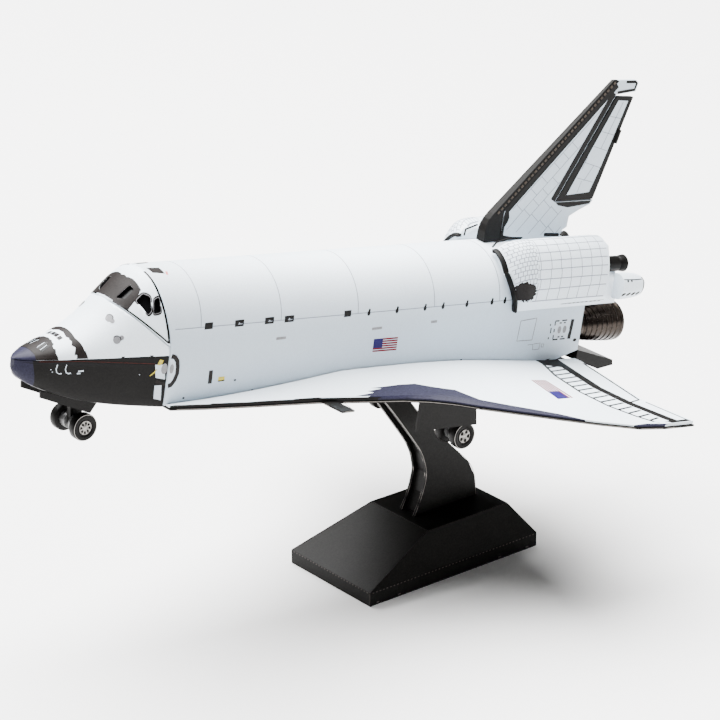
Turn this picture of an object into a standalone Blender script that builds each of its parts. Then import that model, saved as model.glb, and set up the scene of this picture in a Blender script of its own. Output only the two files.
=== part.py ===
# A folded sheet-metal model of a space shuttle orbiter on its display stand, about 107 mm long.
# The tables are in millimetres. The shuttle's own frame has x aft from the nose tip, y to starboard
# and z up from the underside. It hangs from one empty that pitches it nose-up on the stand.
from math import acos, atan2, cos, pi, radians, sin, sqrt

import bmesh
import bpy
from mathutils import Matrix, Vector

MM = 0.001
FIT = 0.1  # clear gap between two pieces that meet

# The pose of the shuttle on its stand
PITCH = radians(10.11)
NOSE_X, NOSE_Z = -54.84, 42.02
STAND_X = 12.66

# Fuselage
BODY_REAR = 92.6
BODY_HALF = 7.1
DOOR_LINE, RIDGE = 10.3, 16.8
ARCH_RADIUS = (BODY_HALF ** 2 + (RIDGE - DOOR_LINE) ** 2) / (2 * (RIDGE - DOOR_LINE))
ARCH_CENTRE = RIDGE - ARCH_RADIUS
ARCH_STEPS = 16
BULKHEAD = 0.25

# Its front edge, upright below and leaning forward over the cockpit: x, z
FRONT_EDGE = ((19.9, -2.0), (19.9, 8.0), (18.4, 16.8), (18.4, 18.0))
# Its underside rises to the engines: x where it starts, height at the rear
RISE_FROM, RISE = 86.0, 1.9

# Upper nose and cockpit: x, half width at the split, height of the split, top, roundness
NOSE_UPPER = (
    (0.6, 0.45, 5.85, 6.05, 2.0),
    (1.2, 1.10, 5.90, 6.40, 2.0),
    (3.0, 2.30, 6.05, 7.10, 2.0),
    (5.7, 3.30, 6.20, 8.15, 2.0),
    (8.4, 4.10, 6.35, 9.30, 2.0),
    (11.0, 4.85, 6.45, 10.9, 2.05),
    (13.2, 5.40, 6.55, 12.75, 2.15),
    (13.9, 5.60, 6.60, 13.4, 2.2),
    (16.0, 6.10, 6.70, 15.3, 2.3),
    (18.0, 6.60, 6.75, 16.65, 2.4),
    (19.8, 6.95, 6.80, 16.85, 2.45),
)
# Lower nose: x, half width at the split, height of the split, half width at the chine, bottom
NOSE_LOWER = (
    (0.6, 0.45, 5.85, 0.30, 4.30),
    (1.2, 1.10, 5.90, 0.80, 3.50),
    (3.0, 2.30, 6.05, 1.80, 2.40),
    (5.7, 3.30, 6.20, 2.90, 1.50),
    (9.5, 4.40, 6.40, 4.00, 0.55),
    (14.4, 5.70, 6.62, 5.35, 0.00),
    (19.8, 6.95, 6.80, 6.85, -0.25),
)
# The seam under the cockpit, from the windscreen's foot to the bulkhead: x, z
COCKPIT_SEAM = ((13.5, 12.9), (19.8, 8.0))
# Windows: name, centre x, y, z, turn of the outward normal from abeam, its rise, width, height
WINDOWS = (
    ("front", 15.03, 2.20, 14.04, 66, 45, 1.0, 2.0),
    ("middle", 16.55, 4.70, 13.25, 30, 30, 1.3, 1.9),
    ("side", 18.00, 5.45, 13.30, 13, 26, 1.0, 1.7),
)
WINDOW_DEPTH = 0.5

# Leading edge of the wing and its glove: x, y
LEADING = ((20.1, 8.0), (25.0, 9.0), (32.8, 10.1), (41.9, 11.2), (50.7, 13.15), (54.5, 13.95), (58.0, 15.37),
           (60.8, 17.23), (63.2, 19.62), (67.3, 23.12), (71.5, 26.63), (75.7, 29.98), (80.3, 32.99),
           (84.2, 33.89), (88.7, 34.1))
# Trailing edge, from the tip to the body: x, y
TRAILING = ((89.35, 34.1), (88.45, 24.5), (91.3, 12.4), (92.1, 8.8), (92.2, 7.2))
# Height of the wing where it meets the body: x, z
ROOT_HEIGHT = ((20.1, 0.3), (25.0, 0.45), (32.8, 0.9), (41.9, 1.7), (50.7, 2.5), (59.2, 2.5), (68.3, 2.27),
               (77.7, 1.57), (85.7, 0.93), (92.2, 0.72))
WING_ROOT = BODY_HALF + FIT
WING_EDGE = 0.30  # height of the blunt leading edge
WING_OUTER = 0.50  # height just behind it
WING_BAND, WING_BAND_SHARE = 1.2, 0.3  # chord of the sloping leading strip, at most this share of the rib
CHORD_STEPS = (0.0, 0.12, 0.26, 0.42, 0.6, 0.8, 1.0)
SHEET = 0.25  # thickness of the dark underside panel
RIM = 0.15  # how far that panel stands out past the wing
GLOVE_TAB = (42.65, 44.8, 15.5)  # the tab left out from its edge: x, x, y

# Fin, in profile: x, z
FIN_FRONT = ((77.2, 16.9), (77.2, 18.4), (77.35, 19.3), (77.8, 20.1), (78.5, 20.9), (98.1, 39.4))
FIN_STRIP_REAR = ((99.0, 39.4), (80.35, 21.3), (80.1, 16.9))
FIN = ((80.2, 16.9), (80.45, 21.27), (99.15, 39.4), (102.6, 39.35), (103.1, 38.95), (102.75, 37.7), (99.0, 37.3),
       (89.9, 22.0), (97.4, 22.0), (96.9, 21.4), (94.8, 20.6), (93.1, 19.8), (92.9, 18.3), (92.0, 17.8),
       (91.5, 16.9))
RUDDER = ((99.2, 37.05), (102.5, 36.9), (97.3, 22.15), (90.15, 22.15))
FIN_THICKNESS = ((16.9, 0.85), (20.0, 0.65), (25.0, 0.52), (39.4, 0.25))  # z, half thickness

# Orbital pods: x, inner y, width scale, height scale of the section below
POD_STATIONS = (
    (76.7, 4.0, 0.30, 0.35),
    (78.0, 3.7, 0.62, 0.68),
    (79.8, 3.2, 0.90, 0.92),
    (82.5, 2.5, 1.0, 1.0),
    (92.4, 2.5, 1.0, 1.0),
    (94.6, 2.5, 0.97, 0.92),
)
# Outer side of a pod's section, from the fin to the skirt: y, z
POD_OUTER = ((2.9, 17.1), (4.2, 18.0), (6.0, 18.4), (7.6, 17.5), (8.6, 15.6), (9.0, 13.0), (8.7, 10.2))
POD_SKIRT = 8.6
POD_STEPS = 6
POD_NOSE_RAKE = (14.1, 0.40)  # height below which the front face leans aft, and by how much
POD_RAKE = (17.7, 13.4, 0.84)  # the rear face's top, its foot, how far it runs aft for each millimetre down
CONTROL_POD = ((96.4, 1.0), (97.4, 1.0), (100.5, 0.78), (101.0, 0.6))  # x, scale
CONTROL_POD_SECTION = ((-1.0, -1.9), (0.6, -1.7), (1.2, -0.4), (1.1, 1.2), (0.2, 1.9), (-1.0, 1.9))
CONTROL_POD_CENTRE = (9.25, 11.6)

# Main engine bells: name, exit centre x, y, z, cant in degrees
MAIN_ENGINES = (("upper_main_engine", 101.0, 0.0, 10.7, 6.0),
                ("port_main_engine", 101.5, -3.9, 4.8, 2.0),
                ("starboard_main_engine", 101.5, 3.9, 4.8, 2.0))
BELL = (7.8, 1.95, 2.95, 0.35)  # length, throat, exit, wall
POD_NOZZLE = (1.3, 1.0, 1.25, 0.25)
POD_NOZZLE_EXIT = (99.7, 6.2, 14.1)

BODY_FLAP = ((92.75, 0.25), (92.75, 1.75), (93.2, 1.7), (100.1, -0.2), (100.3, -1.0), (97.4, -1.4))
FLAP_HALF = 7.0

# Nose gear
NOSE_WHEEL = (11.1, -3.5)
NOSE_WHEEL_RADIUS = 1.83
NOSE_WHEEL_SPAN = (1.5, 2.8)  # inner and outer face, from the middle
NOSE_STRUT = ((9.9, 0.35), (12.4, 0.05), (11.75, -3.9), (11.1, -4.3), (10.45, -3.9))
NOSE_DOOR = ((3.8, 1.9), (12.8, -0.35), (11.9, -1.75), (3.9, 1.0))
NOSE_DOOR_Y = (2.0, 2.3)

# Main gear
MAIN_WHEEL = (70.9, -8.2)
MAIN_WHEEL_RADIUS = 1.9
MAIN_WHEEL_SPAN = (0.85, 2.15)
MAIN_GEAR_Y = 7.45
MAIN_STRUT = ((68.0, -0.35), (71.6, -0.35), (71.6, -8.4), (70.9, -8.95), (70.2, -8.4), (69.8, -5.0))
MAIN_DOOR = ((61.2, -0.35), (71.7, -0.35), (71.8, -3.9), (72.3, -6.4), (61.2, -6.4))
MAIN_DOOR_Y = (9.8, 10.1)
AXLE_RADIUS, AXLE_HOLE = 0.32, 0.45
DRUM_WALL = 0.32
STRUT_HALF = 0.35

# Stand, in its own frame with the middle of the base at the origin
BASE_LENGTH, BASE_WIDTH, BASE_SKIRT = 30.7, 17.58, 2.07
PLATE_LENGTH, PLATE_WIDTH, PLATE_HEIGHT, PLATE_SHIFT = 14.73, 12.49, 6.89, 4.48
BASE_WALL = 0.5
PLATE_INSET = 0.4  # share of the wall by which the sloping roof is thinner
ARM = ((-1.4, 6.99), (0.0, 9.9), (0.74, 12.8), (0.3, 15.2), (-0.7, 17.4), (-3.7, 21.8), (-6.3, 25.4),
       (-9.0, 28.6), (-12.3, 31.8), (-4.6, 30.43), (-3.0, 25.9), (0.8, 20.8), (5.7, 15.7), (8.6, 12.6),
       (9.7, 10.2), (10.0, 6.99))
ARM_CORE = ((-0.6, 6.99), (0.6, 9.8), (1.3, 12.8), (0.8, 15.6), (-0.1, 17.8), (-3.2, 22.1), (-5.8, 25.8),
            (-8.5, 29.0), (-11.2, 31.55), (-5.3, 30.5), (-3.6, 25.6), (0.3, 20.3), (5.2, 15.2), (8.1, 12.1),
            (9.1, 10.0), (9.4, 6.99))
ARM_PLATE_Y = (1.25, 1.6)
ARM_CORE_HALF = 1.15

# Colour, roughness and metallic value of each finish
FINISHES = {
    "white": ((0.80, 0.84, 0.88), 0.45, 0.2),
    "black": ((0.012, 0.012, 0.013), 0.5, 0.2),
    "engine": ((0.10, 0.09, 0.08), 0.35, 0.9),
    "steel": ((0.35, 0.34, 0.32), 0.35, 1.0),
}
SIDES = (("port", -1), ("starboard", 1))


def clear_scene():
    for thing in list(bpy.data.objects):
        bpy.data.objects.remove(thing, do_unlink=True)


def finish(name):
    colour, roughness, metallic = FINISHES[name]
    material = bpy.data.materials.get(name) or bpy.data.materials.new(name)
    material.use_nodes = True
    shader = material.node_tree.nodes["Principled BSDF"]
    shader.inputs["Base Color"].default_value = (*colour, 1.0)
    shader.inputs["Roughness"].default_value = roughness
    shader.inputs["Metallic"].default_value = metallic
    material.diffuse_color = (*colour, 1.0)
    return material


def solid(name, points, faces, look, parent, smooth=False):
    mesh = bpy.data.meshes.new(name)
    mesh.from_pydata([Vector(p) * MM for p in points], [], faces)
    work = bmesh.new()
    work.from_mesh(mesh)
    bmesh.ops.remove_doubles(work, verts=work.verts, dist=1e-7)
    bmesh.ops.connect_verts_nonplanar(work, angle_limit=radians(0.5), faces=work.faces)
    bmesh.ops.recalc_face_normals(work, faces=work.faces)
    if work.calc_volume(signed=True) < 0:
        bmesh.ops.reverse_faces(work, faces=work.faces)
    work.to_mesh(mesh)
    work.free()
    if smooth:
        mesh.shade_smooth()
        mesh.set_sharp_from_angle(angle=radians(35))
    mesh.materials.append(finish(look))
    item = bpy.data.objects.new(name, mesh)
    bpy.context.collection.objects.link(item)
    item.parent = parent
    return item


def empty(name, parent=None, place=(0, 0, 0), pitch=0.0):
    item = bpy.data.objects.new(name, None)
    bpy.context.collection.objects.link(item)
    item.parent = parent
    item.location = Vector(place) * MM
    item.rotation_euler = (0, pitch, 0)
    return item


def loft(sections):
    # Joins closed sections of equal length and caps both ends
    count = len(sections[0])
    points = [p for section in sections for p in section]
    faces = [tuple(range(count)), tuple(range(len(points) - 1, len(points) - 1 - count, -1))]
    for s in range(len(sections) - 1):
        for i in range(count):
            j = (i + 1) % count
            a, b = s * count, (s + 1) * count
            faces.append((a + i, a + j, b + j, b + i))
    return points, faces


def slab(outline, low, high):
    # An outline in x and z, as thick as from low to high in y
    return loft([[(x, y, z) for x, z in outline] for y in (low, high)])


def box(x0, x1, y0, y1, z0, z1):
    return slab(((x0, z0), (x1, z0), (x1, z1), (x0, z1)), y0, y1)


def turned(profile, axis, steps):
    # A profile of (place along the axis, radius) turned once round; a zero radius closes an end
    points, rings = [], []
    for along, radius in profile:
        if radius == 0:
            rings.append([len(points)] * steps)
            ring = [(0.0, 0.0)]
        else:
            rings.append(list(range(len(points), len(points) + steps)))
            ring = [(radius * cos(2 * pi * k / steps), radius * sin(2 * pi * k / steps)) for k in range(steps)]
        points += [(along, u, v) if axis == "x" else (u, along, v) for u, v in ring]
    faces = []
    for a, b in zip(rings, rings[1:]):
        for k in range(steps):
            n = (k + 1) % steps
            corner = []
            for v in (a[k], a[n], b[n], b[k]):
                if v not in corner:
                    corner.append(v)
            faces.append(tuple(corner))
    return points, faces


def moved(shape, x=0.0, y=0.0, z=0.0, droop=0.0):
    points, faces = shape
    turn = Matrix.Rotation(radians(droop), 3, "Y")
    return [turn @ Vector(p) + Vector((x, y, z)) for p in points], faces


def boolean(target, cutter, operation="DIFFERENCE"):
    cutter.hide_render = True
    cutter.display_type = "WIRE"
    step = target.modifiers.new(cutter.name, "BOOLEAN")
    step.object = cutter
    step.operation = operation
    step.solver = "EXACT"


def arch(y):
    return ARCH_CENTRE + sqrt(max(ARCH_RADIUS ** 2 - y ** 2, 0.0))


def door_angle():
    # The angle, from starboard, at which the payload bay's arch meets the side
    return atan2(DOOR_LINE - ARCH_CENTRE, BODY_HALF)


def body_section(bottom):
    start = pi - door_angle()
    section = [(-BODY_HALF, bottom)]
    for k in range(ARCH_STEPS + 1):
        turn = start + (door_angle() - start) * k / ARCH_STEPS
        section.append((ARCH_RADIUS * cos(turn), ARCH_CENTRE + ARCH_RADIUS * sin(turn)))
    section.append((BODY_HALF, bottom))
    return section


def fuselage(shuttle):
    low, high = body_section(FIT), body_section(RISE)
    sections = [[(FRONT_EDGE[-1][0] - FIT, y, z) for y, z in low],
                [(RISE_FROM, y, z) for y, z in low],
                [(BODY_REAR, y, z) for y, z in high]]
    body = solid("mid_fuselage", *loft(sections), "white", shuttle, smooth=True)
    ahead = [(FRONT_EDGE[-1][0] - 5, FRONT_EDGE[-1][1]), (FRONT_EDGE[0][0] - 5, FRONT_EDGE[0][1]), *FRONT_EDGE]
    boolean(body, solid("front_guide", *slab(ahead, -12, 12), "white", shuttle))
    inset = [(y * 0.96, z * 0.97 + 0.3) for y, z in body_section(RISE)]
    rear = BODY_REAR + FIT
    sections = [[(x, y, z) for y, z in inset] for x in (rear, rear + BULKHEAD)]
    solid("rear_bulkhead", *loft(sections), "black", shuttle)


def upper_section(x, half, split, top, roundness):
    section = []
    for k in range(13):
        turn = pi * k / 12
        reach = abs(cos(turn)) ** (2 / roundness) * (1 if cos(turn) > 0 else -1)
        z = split + (top - split) * sin(turn) ** (2 / roundness)
        section.append((x, -half * reach, z))
    return section


def lower_section(x, half, split, chine, bottom):
    port = [(-half, split - FIT), (-half * 0.99, bottom + 0.45 * (split - bottom)),
            (-chine, bottom + 0.35), (-chine + 0.4, bottom)]
    return [(x, y, z) for y, z in port] + [(x, -y, z) for y, z in reversed(port)]


def nose(shuttle):
    solid("lower_nose", *loft([lower_section(*row) for row in NOSE_LOWER]), "black", shuttle, smooth=True)
    shell = loft([upper_section(*row) for row in NOSE_UPPER])
    upper = solid("upper_nose", *shell, "white", shuttle, smooth=True)
    cockpit = solid("cockpit", *shell, "white", shuttle, smooth=True)
    top = FRONT_EDGE[-1][1]
    rear = [(x - FIT, z) for x, z in FRONT_EDGE[1:]]
    above = [(COCKPIT_SEAM[0][0], top), COCKPIT_SEAM[0], *rear]
    low = [(COCKPIT_SEAM[0][0], top), *COCKPIT_SEAM, (COCKPIT_SEAM[1][0] + 5, COCKPIT_SEAM[1][1])]
    low = [(x - FIT, z - FIT) for x, z in low] + [(COCKPIT_SEAM[1][0] + 5, top)]
    boolean(upper, solid("seam_guide_low", *slab(low, -12, 12), "white", shuttle))
    boolean(cockpit, solid("seam_guide_high", *slab(above, -12, 12), "white", shuttle), "INTERSECT")
    for name, x, y, z, turn, rise, width, height in WINDOWS:
        for side, sign in SIDES:
            shape = box(-width / 2, width / 2, -WINDOW_DEPTH, WINDOW_DEPTH, -height / 2, height / 2)
            guide = solid("window_guide_%s_%s" % (name, side), *shape, "white", shuttle)
            guide.location = Vector((x, sign * y, z)) * MM
            guide.rotation_euler = (sign * radians(rise), 0, sign * radians(turn))
            boolean(cockpit, guide)


def along(table, at, key=0):
    # Reads the other column of a two-column table between its rows
    for a, b in zip(table, table[1:]):
        low, high = sorted((a[key], b[key]))
        if low <= at <= high and low < high:
            return a[1 - key] + (b[1 - key] - a[1 - key]) * (at - a[key]) / (b[key] - a[key])
    ends = sorted((abs(row[key] - at), row[1 - key]) for row in table)
    return ends[0][1]


def wing_height(x, y):
    out = (y - WING_ROOT) / (along(LEADING, x) - WING_ROOT)
    return along(ROOT_HEIGHT, x) * (1 - out) + WING_OUTER * out


def wing_section(y, sign):
    # One rib: along the underside from the trailing edge to the leading edge, then back over the top
    nose, tail = along(LEADING, y, 1), along(TRAILING, y, 1)
    band = nose + min(WING_BAND, WING_BAND_SHARE * (tail - nose))
    rib = [(nose, FIT), (nose, WING_EDGE)]
    for step in CHORD_STEPS:
        x = band + (tail - band) * step
        rib.append((x, wing_height(x, y)))
    rib.append((tail, FIT))
    return [(x, sign * y, z) for x, z in rib]


def wings(shuttle):
    ribs = [WING_ROOT] + [y for x, y in LEADING]
    for side, sign in SIDES:
        solid(side + "_wing", *loft([wing_section(y, sign) for y in ribs]), "white", shuttle)
    tab_front, tab_rear, tab_end = GLOVE_TAB
    edge = [(x, y + RIM) for x, y in LEADING]
    tab = [(tab_front, along(LEADING, tab_front) + RIM), (tab_front, tab_end),
           (tab_rear, tab_end), (tab_rear, along(LEADING, tab_rear) + RIM)]
    place = sum(1 for x, y in edge if x < tab_front)
    rear = [(x + RIM, y + (RIM if y > 30 else 0.0)) for x, y in TRAILING]
    half = edge[:place] + tab + edge[place:] + rear
    outline = [(x, -y) for x, y in half] + [(x, y) for x, y in reversed(half)]
    shape = loft([[(x, y, z) for x, y in outline] for z in (-SHEET, 0.0)])
    solid("underside_panel", *shape, "black", shuttle)


def fin_slab(outline):
    # A slab that thins towards the fin's tip
    half = [along(FIN_THICKNESS, z) for x, z in outline]
    return loft([[(x, side * h, z) for (x, z), h in zip(outline, half)] for side in (-1, 1)])


def fin(shuttle):
    solid("fin", *fin_slab(FIN), "white", shuttle)
    solid("fin_leading_strip", *fin_slab(FIN_FRONT + FIN_STRIP_REAR), "black", shuttle)
    solid("rudder", *fin_slab(RUDDER), "black", shuttle)


def pod_section(station, sign, rear):
    x, inside, wide, tall = station
    section = [(x, BODY_HALF + 2 * FIT, POD_SKIRT), (x, BODY_HALF + 2 * FIT, DOOR_LINE)]
    first, last = door_angle(), acos(inside / ARCH_RADIUS)
    reach = ARCH_RADIUS + 2 * FIT
    for k in range(POD_STEPS):
        turn = first + (last - first) * (k + 1) / POD_STEPS
        section.append((x, reach * cos(turn), ARCH_CENTRE + reach * sin(turn)))
    for y, z in POD_OUTER:
        y = max(y, inside + 0.4 * (y - POD_STATIONS[-1][1]))
        base_y = min(y, BODY_HALF + 2.5 * FIT) if z < 15 else y * 0.97
        base_z = z if z < 12 else arch(min(y, BODY_HALF)) + 2.5 * FIT
        section.append((x, base_y + (y - base_y) * wide, base_z + (z - base_z) * tall))
    if rear:
        top, foot, slope = POD_RAKE
        shift = [slope * (top - max(z, foot)) if y < 7.7 and z < top else 0.0 for x, y, z in section]
    else:
        below, slope = POD_NOSE_RAKE
        fade = max(0.0, 1 - (x - POD_STATIONS[0][0]) / 6)
        shift = [slope * fade * max(0.0, below - z) for x, y, z in section]
    return [(x + dx, sign * y, z) for (x, y, z), dx in zip(section, shift)]


def pods(shuttle):
    for side, sign in SIDES:
        sections = [pod_section(row, sign, row == POD_STATIONS[-1]) for row in POD_STATIONS]
        solid(side + "_orbital_pod", *loft(sections), "white", shuttle)
        y0, z0 = CONTROL_POD_CENTRE
        sections = [[(x, sign * (y0 + y * scale), z0 + z * scale) for y, z in CONTROL_POD_SECTION]
                    for x, scale in CONTROL_POD]
        solid(side + "_control_pod", *loft(sections), "white", shuttle)
        x, y, z = POD_NOZZLE_EXIT
        solid(side + "_pod_nozzle", *moved(bell(*POD_NOZZLE), x, sign * y, z), "black", shuttle, smooth=True)


def bell(length, throat, exit_radius, wall):
    # Runs from the throat at -length to the exit at 0, hollow from the exit
    outer, inner = [(-length, 0.0), (-length, throat)], []
    steps = 6
    for k in range(steps + 1):
        t = k / steps
        radius = throat + (exit_radius - throat) * t ** 0.6
        outer.append((-length * (0.9 - 0.9 * t), radius))
        inner.append((-length * (0.9 - 0.9 * t), radius - wall))
    return turned(outer + inner[::-1] + [(-length * 0.9, 0.0)], "x", 24)


def engines(shuttle):
    for name, x, y, z, cant in MAIN_ENGINES:
        solid(name, *moved(bell(*BELL), x, y, z, -cant), "engine", shuttle, smooth=True)
    solid("body_flap", *slab(BODY_FLAP, -FLAP_HALF, FLAP_HALF), "black", shuttle)


def wheel_pair(name, span, radius, parent):
    # Two drums, open inwards, on one axle
    inner, outer = span
    half = [(outer, 0.0), (outer, radius), (inner, radius), (inner, radius - DRUM_WALL),
            (outer - DRUM_WALL, radius - DRUM_WALL), (outer - DRUM_WALL, AXLE_RADIUS)]
    profile = half + [(-y, r) for y, r in reversed(half)]
    return solid(name, *turned(profile, "y", 20), "steel", parent, smooth=True)


def strut(name, outline, y, hub, shuttle):
    leg = solid(name, *slab(outline, y - STRUT_HALF, y + STRUT_HALF), "black", shuttle)
    drill = solid(name + "_drill", *turned(((-1, 0), (-1, AXLE_HOLE), (1, AXLE_HOLE), (1, 0)), "y", 16),
                  "black", shuttle)
    drill.location = Vector((hub[0], y, hub[1])) * MM
    boolean(leg, drill)


def nose_gear(shuttle):
    strut("nose_strut", NOSE_STRUT, 0.0, NOSE_WHEEL, shuttle)
    hub = empty("nose_axle", shuttle, (NOSE_WHEEL[0], 0, NOSE_WHEEL[1]))
    wheel_pair("nose_wheels", NOSE_WHEEL_SPAN, NOSE_WHEEL_RADIUS, hub)
    for side, sign in SIDES:
        low, high = sorted(sign * y for y in NOSE_DOOR_Y)
        solid(side + "_nose_gear_door", *slab(NOSE_DOOR, low, high), "black", shuttle)


def main_gear(shuttle):
    for side, sign in SIDES:
        y = sign * MAIN_GEAR_Y
        strut(side + "_main_strut", MAIN_STRUT, y, MAIN_WHEEL, shuttle)
        hub = empty(side + "_main_axle", shuttle, (MAIN_WHEEL[0], y, MAIN_WHEEL[1]))
        wheel_pair(side + "_main_wheels", MAIN_WHEEL_SPAN, MAIN_WHEEL_RADIUS, hub)
        low, high = sorted(sign * y for y in MAIN_DOOR_Y)
        solid(side + "_main_gear_door", *slab(MAIN_DOOR, low, high), "black", shuttle)


def stand(foot):
    rings = []
    for wall, roof in ((BASE_WALL, BASE_WALL), (0.0, 0.0)):
        length, width = BASE_LENGTH / 2 - wall, BASE_WIDTH / 2 - wall
        top_length, top_width = PLATE_LENGTH / 2 - wall * PLATE_INSET, PLATE_WIDTH / 2 - wall * PLATE_INSET
        rings.append((
            (0.0, length, width, 0.0),
            (0.0, length, width, BASE_SKIRT - roof * PLATE_INSET),
            (PLATE_SHIFT, top_length, top_width, PLATE_HEIGHT - roof),
        ))
    inner, outer = rings
    sections = []
    for middle, length, width, z in inner[::-1] + outer:
        front, rear = middle - length, middle + length
        sections.append([(front, -width, z), (rear, -width, z), (rear, width, z), (front, width, z)])
    solid("stand_base", *loft(sections), "black", foot)
    for side, sign in SIDES:
        low, high = sorted(sign * y for y in ARM_PLATE_Y)
        solid("stand_arm_%s_plate" % side, *slab(ARM, low, high), "black", foot)
    solid("stand_arm_core", *slab(ARM_CORE, -ARM_CORE_HALF, ARM_CORE_HALF), "black", foot)


def main():
    clear_scene()
    shuttle = empty("shuttle", None, (NOSE_X, 0, NOSE_Z), PITCH)
    foot = empty("stand", None, (STAND_X, 0, 0))
    fuselage(shuttle)
    nose(shuttle)
    wings(shuttle)
    fin(shuttle)
    pods(shuttle)
    engines(shuttle)
    nose_gear(shuttle)
    main_gear(shuttle)
    stand(foot)
    bpy.context.view_layer.update()


main()
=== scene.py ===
# Looks for a folded sheet-metal model of a space shuttle on its display stand
import math

import bmesh
import bpy
from mathutils import Matrix, Vector
from mathutils.bvhtree import BVHTree
from mathutils.geometry import delaunay_2d_cdt


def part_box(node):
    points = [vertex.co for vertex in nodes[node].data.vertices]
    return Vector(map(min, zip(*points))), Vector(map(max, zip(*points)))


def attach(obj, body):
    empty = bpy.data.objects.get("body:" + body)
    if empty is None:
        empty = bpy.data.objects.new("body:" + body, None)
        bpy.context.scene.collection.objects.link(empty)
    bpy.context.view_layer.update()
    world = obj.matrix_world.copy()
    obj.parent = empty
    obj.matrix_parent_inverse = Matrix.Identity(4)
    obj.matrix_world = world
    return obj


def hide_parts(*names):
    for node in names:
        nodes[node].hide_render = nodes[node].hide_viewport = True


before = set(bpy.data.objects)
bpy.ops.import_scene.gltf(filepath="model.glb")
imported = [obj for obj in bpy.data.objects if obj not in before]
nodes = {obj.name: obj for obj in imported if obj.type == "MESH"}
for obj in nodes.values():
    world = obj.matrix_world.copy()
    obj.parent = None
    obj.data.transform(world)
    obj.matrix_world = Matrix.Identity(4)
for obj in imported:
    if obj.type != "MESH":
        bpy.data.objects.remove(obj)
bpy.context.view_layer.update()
print("frame:", len(nodes), "nodes")

# The shuttle's own frame is in millimetres: x aft from the nose, y to starboard, z up from its underside.
# It is pitched nose-up, and its nose wheel's axle says where it hangs.
pose = {"pitch": 10.11, "noseAxle": (11.1, 0.0, -3.5)}
mm = 0.001
sides = (("port", -1), ("starboard", 1))


def boxMiddle(node):
    low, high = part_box(node)
    return (low + high) / 2


shuttleTurn = Matrix.Rotation(math.radians(pose["pitch"]), 4, "Y")
shuttleOrigin = boxMiddle("nose_wheels") - shuttleTurn @ (Vector(pose["noseAxle"]) * mm)
shuttleFrame = Matrix.Translation(shuttleOrigin) @ shuttleTurn @ Matrix.Scale(mm, 4)
standX = boxMiddle("stand_base").x
standFrame = Matrix.Translation((standX, 0, 0)) @ Matrix.Scale(mm, 4)


# Finishes

# colour, roughness, metallic, grain size in mm, how much the grain shows, bump
finishes = {
    "whitePrint": ((0.72, 0.79, 0.85), 0.46, 0.0, 0.22, 0.050, 0.10),
    # The white print darkened and blued into painted shade, for the fin's sides and the rudder's panel
    "sideWhitePaintedShade": ((0.50, 0.570, 0.635), 0.46, 0.0, 0.22, 0.050, 0.10),
    "greyMetal": ((0.16, 0.16, 0.16), 0.42, 0.7, 0.30, 0.20, 0.10),
    "blackPrint": ((0.0040, 0.0036, 0.0033), 0.46, 0.0, 0.20, 0.55, 0.16),
    "standBlack": ((0.0050, 0.0046, 0.0042), 0.42, 0.0, 0.24, 0.60, 0.20),
    "slatePrint": ((0.0150, 0.0145, 0.0290), 0.44, 0.0, 0.22, 0.35, 0.14),
    "charcoalPrint": ((0.011, 0.009, 0.0085), 0.50, 0.0, 0.25, 0.30, 0.12),
    "greyPrint": ((0.17, 0.17, 0.18), 0.50, 0.0, 0.22, 0.20, 0.10),
    "seamPrint": ((0.17, 0.19, 0.23), 0.50, 0.0, 0.22, 0.10, 0.10),
    "rustEdge": ((0.040, 0.006, 0.004), 0.50, 0.0, 0.22, 0.40, 0.10),
    "finDots": ((0.050, 0.040, 0.032), 0.40, 0.0, 0.22, 0.30, 0.10),
    "palePrint": ((0.50, 0.56, 0.62), 0.48, 0.0, 0.22, 0.08, 0.10),
    "redPrint": ((0.130, 0.0015, 0.0025), 0.48, 0.0, 0.22, 0.20, 0.10),
    "pinkPrint": ((0.45, 0.12, 0.11), 0.48, 0.0, 0.22, 0.20, 0.10),
    "bluePrint": ((0.012, 0.007, 0.075), 0.48, 0.0, 0.22, 0.20, 0.10),
    "yellowPrint": ((0.45, 0.36, 0.015), 0.50, 0.0, 0.20, 0.35, 0.10),
    # Glossy black painted in as the shade inside window holes, slots, slits and parting gaps
    "glassBlack": ((0.0030, 0.0030, 0.0034), 0.22, 0.0, 0.30, 0.30, 0.03),
    "bareEdge": ((0.15, 0.14, 0.13), 0.34, 1.0, 0.30, 0.30, 0.10),
    "darkEdge": ((0.055, 0.048, 0.044), 0.36, 1.0, 0.30, 0.30, 0.10),
    "engineSteel": ((0.026, 0.020, 0.016), 0.27, 0.85, 0.50, 0.45, 0.12),
    "engineRib": ((0.036, 0.028, 0.023), 0.30, 0.90, 0.50, 0.35, 0.10),
    "shinySteel": ((0.20, 0.19, 0.18), 0.34, 1.0, 0.30, 0.25, 0.08),
}


# Painted shade on the body: its white print is made bluer and darker low on the sides, so the sides look shaded and the
# top lit: heights in mm, and the share of colour there
bodyPaintedShade = {"low": 8.5, "high": 15.5, "red": 0.66, "green": 0.70, "blue": 0.74}


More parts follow.
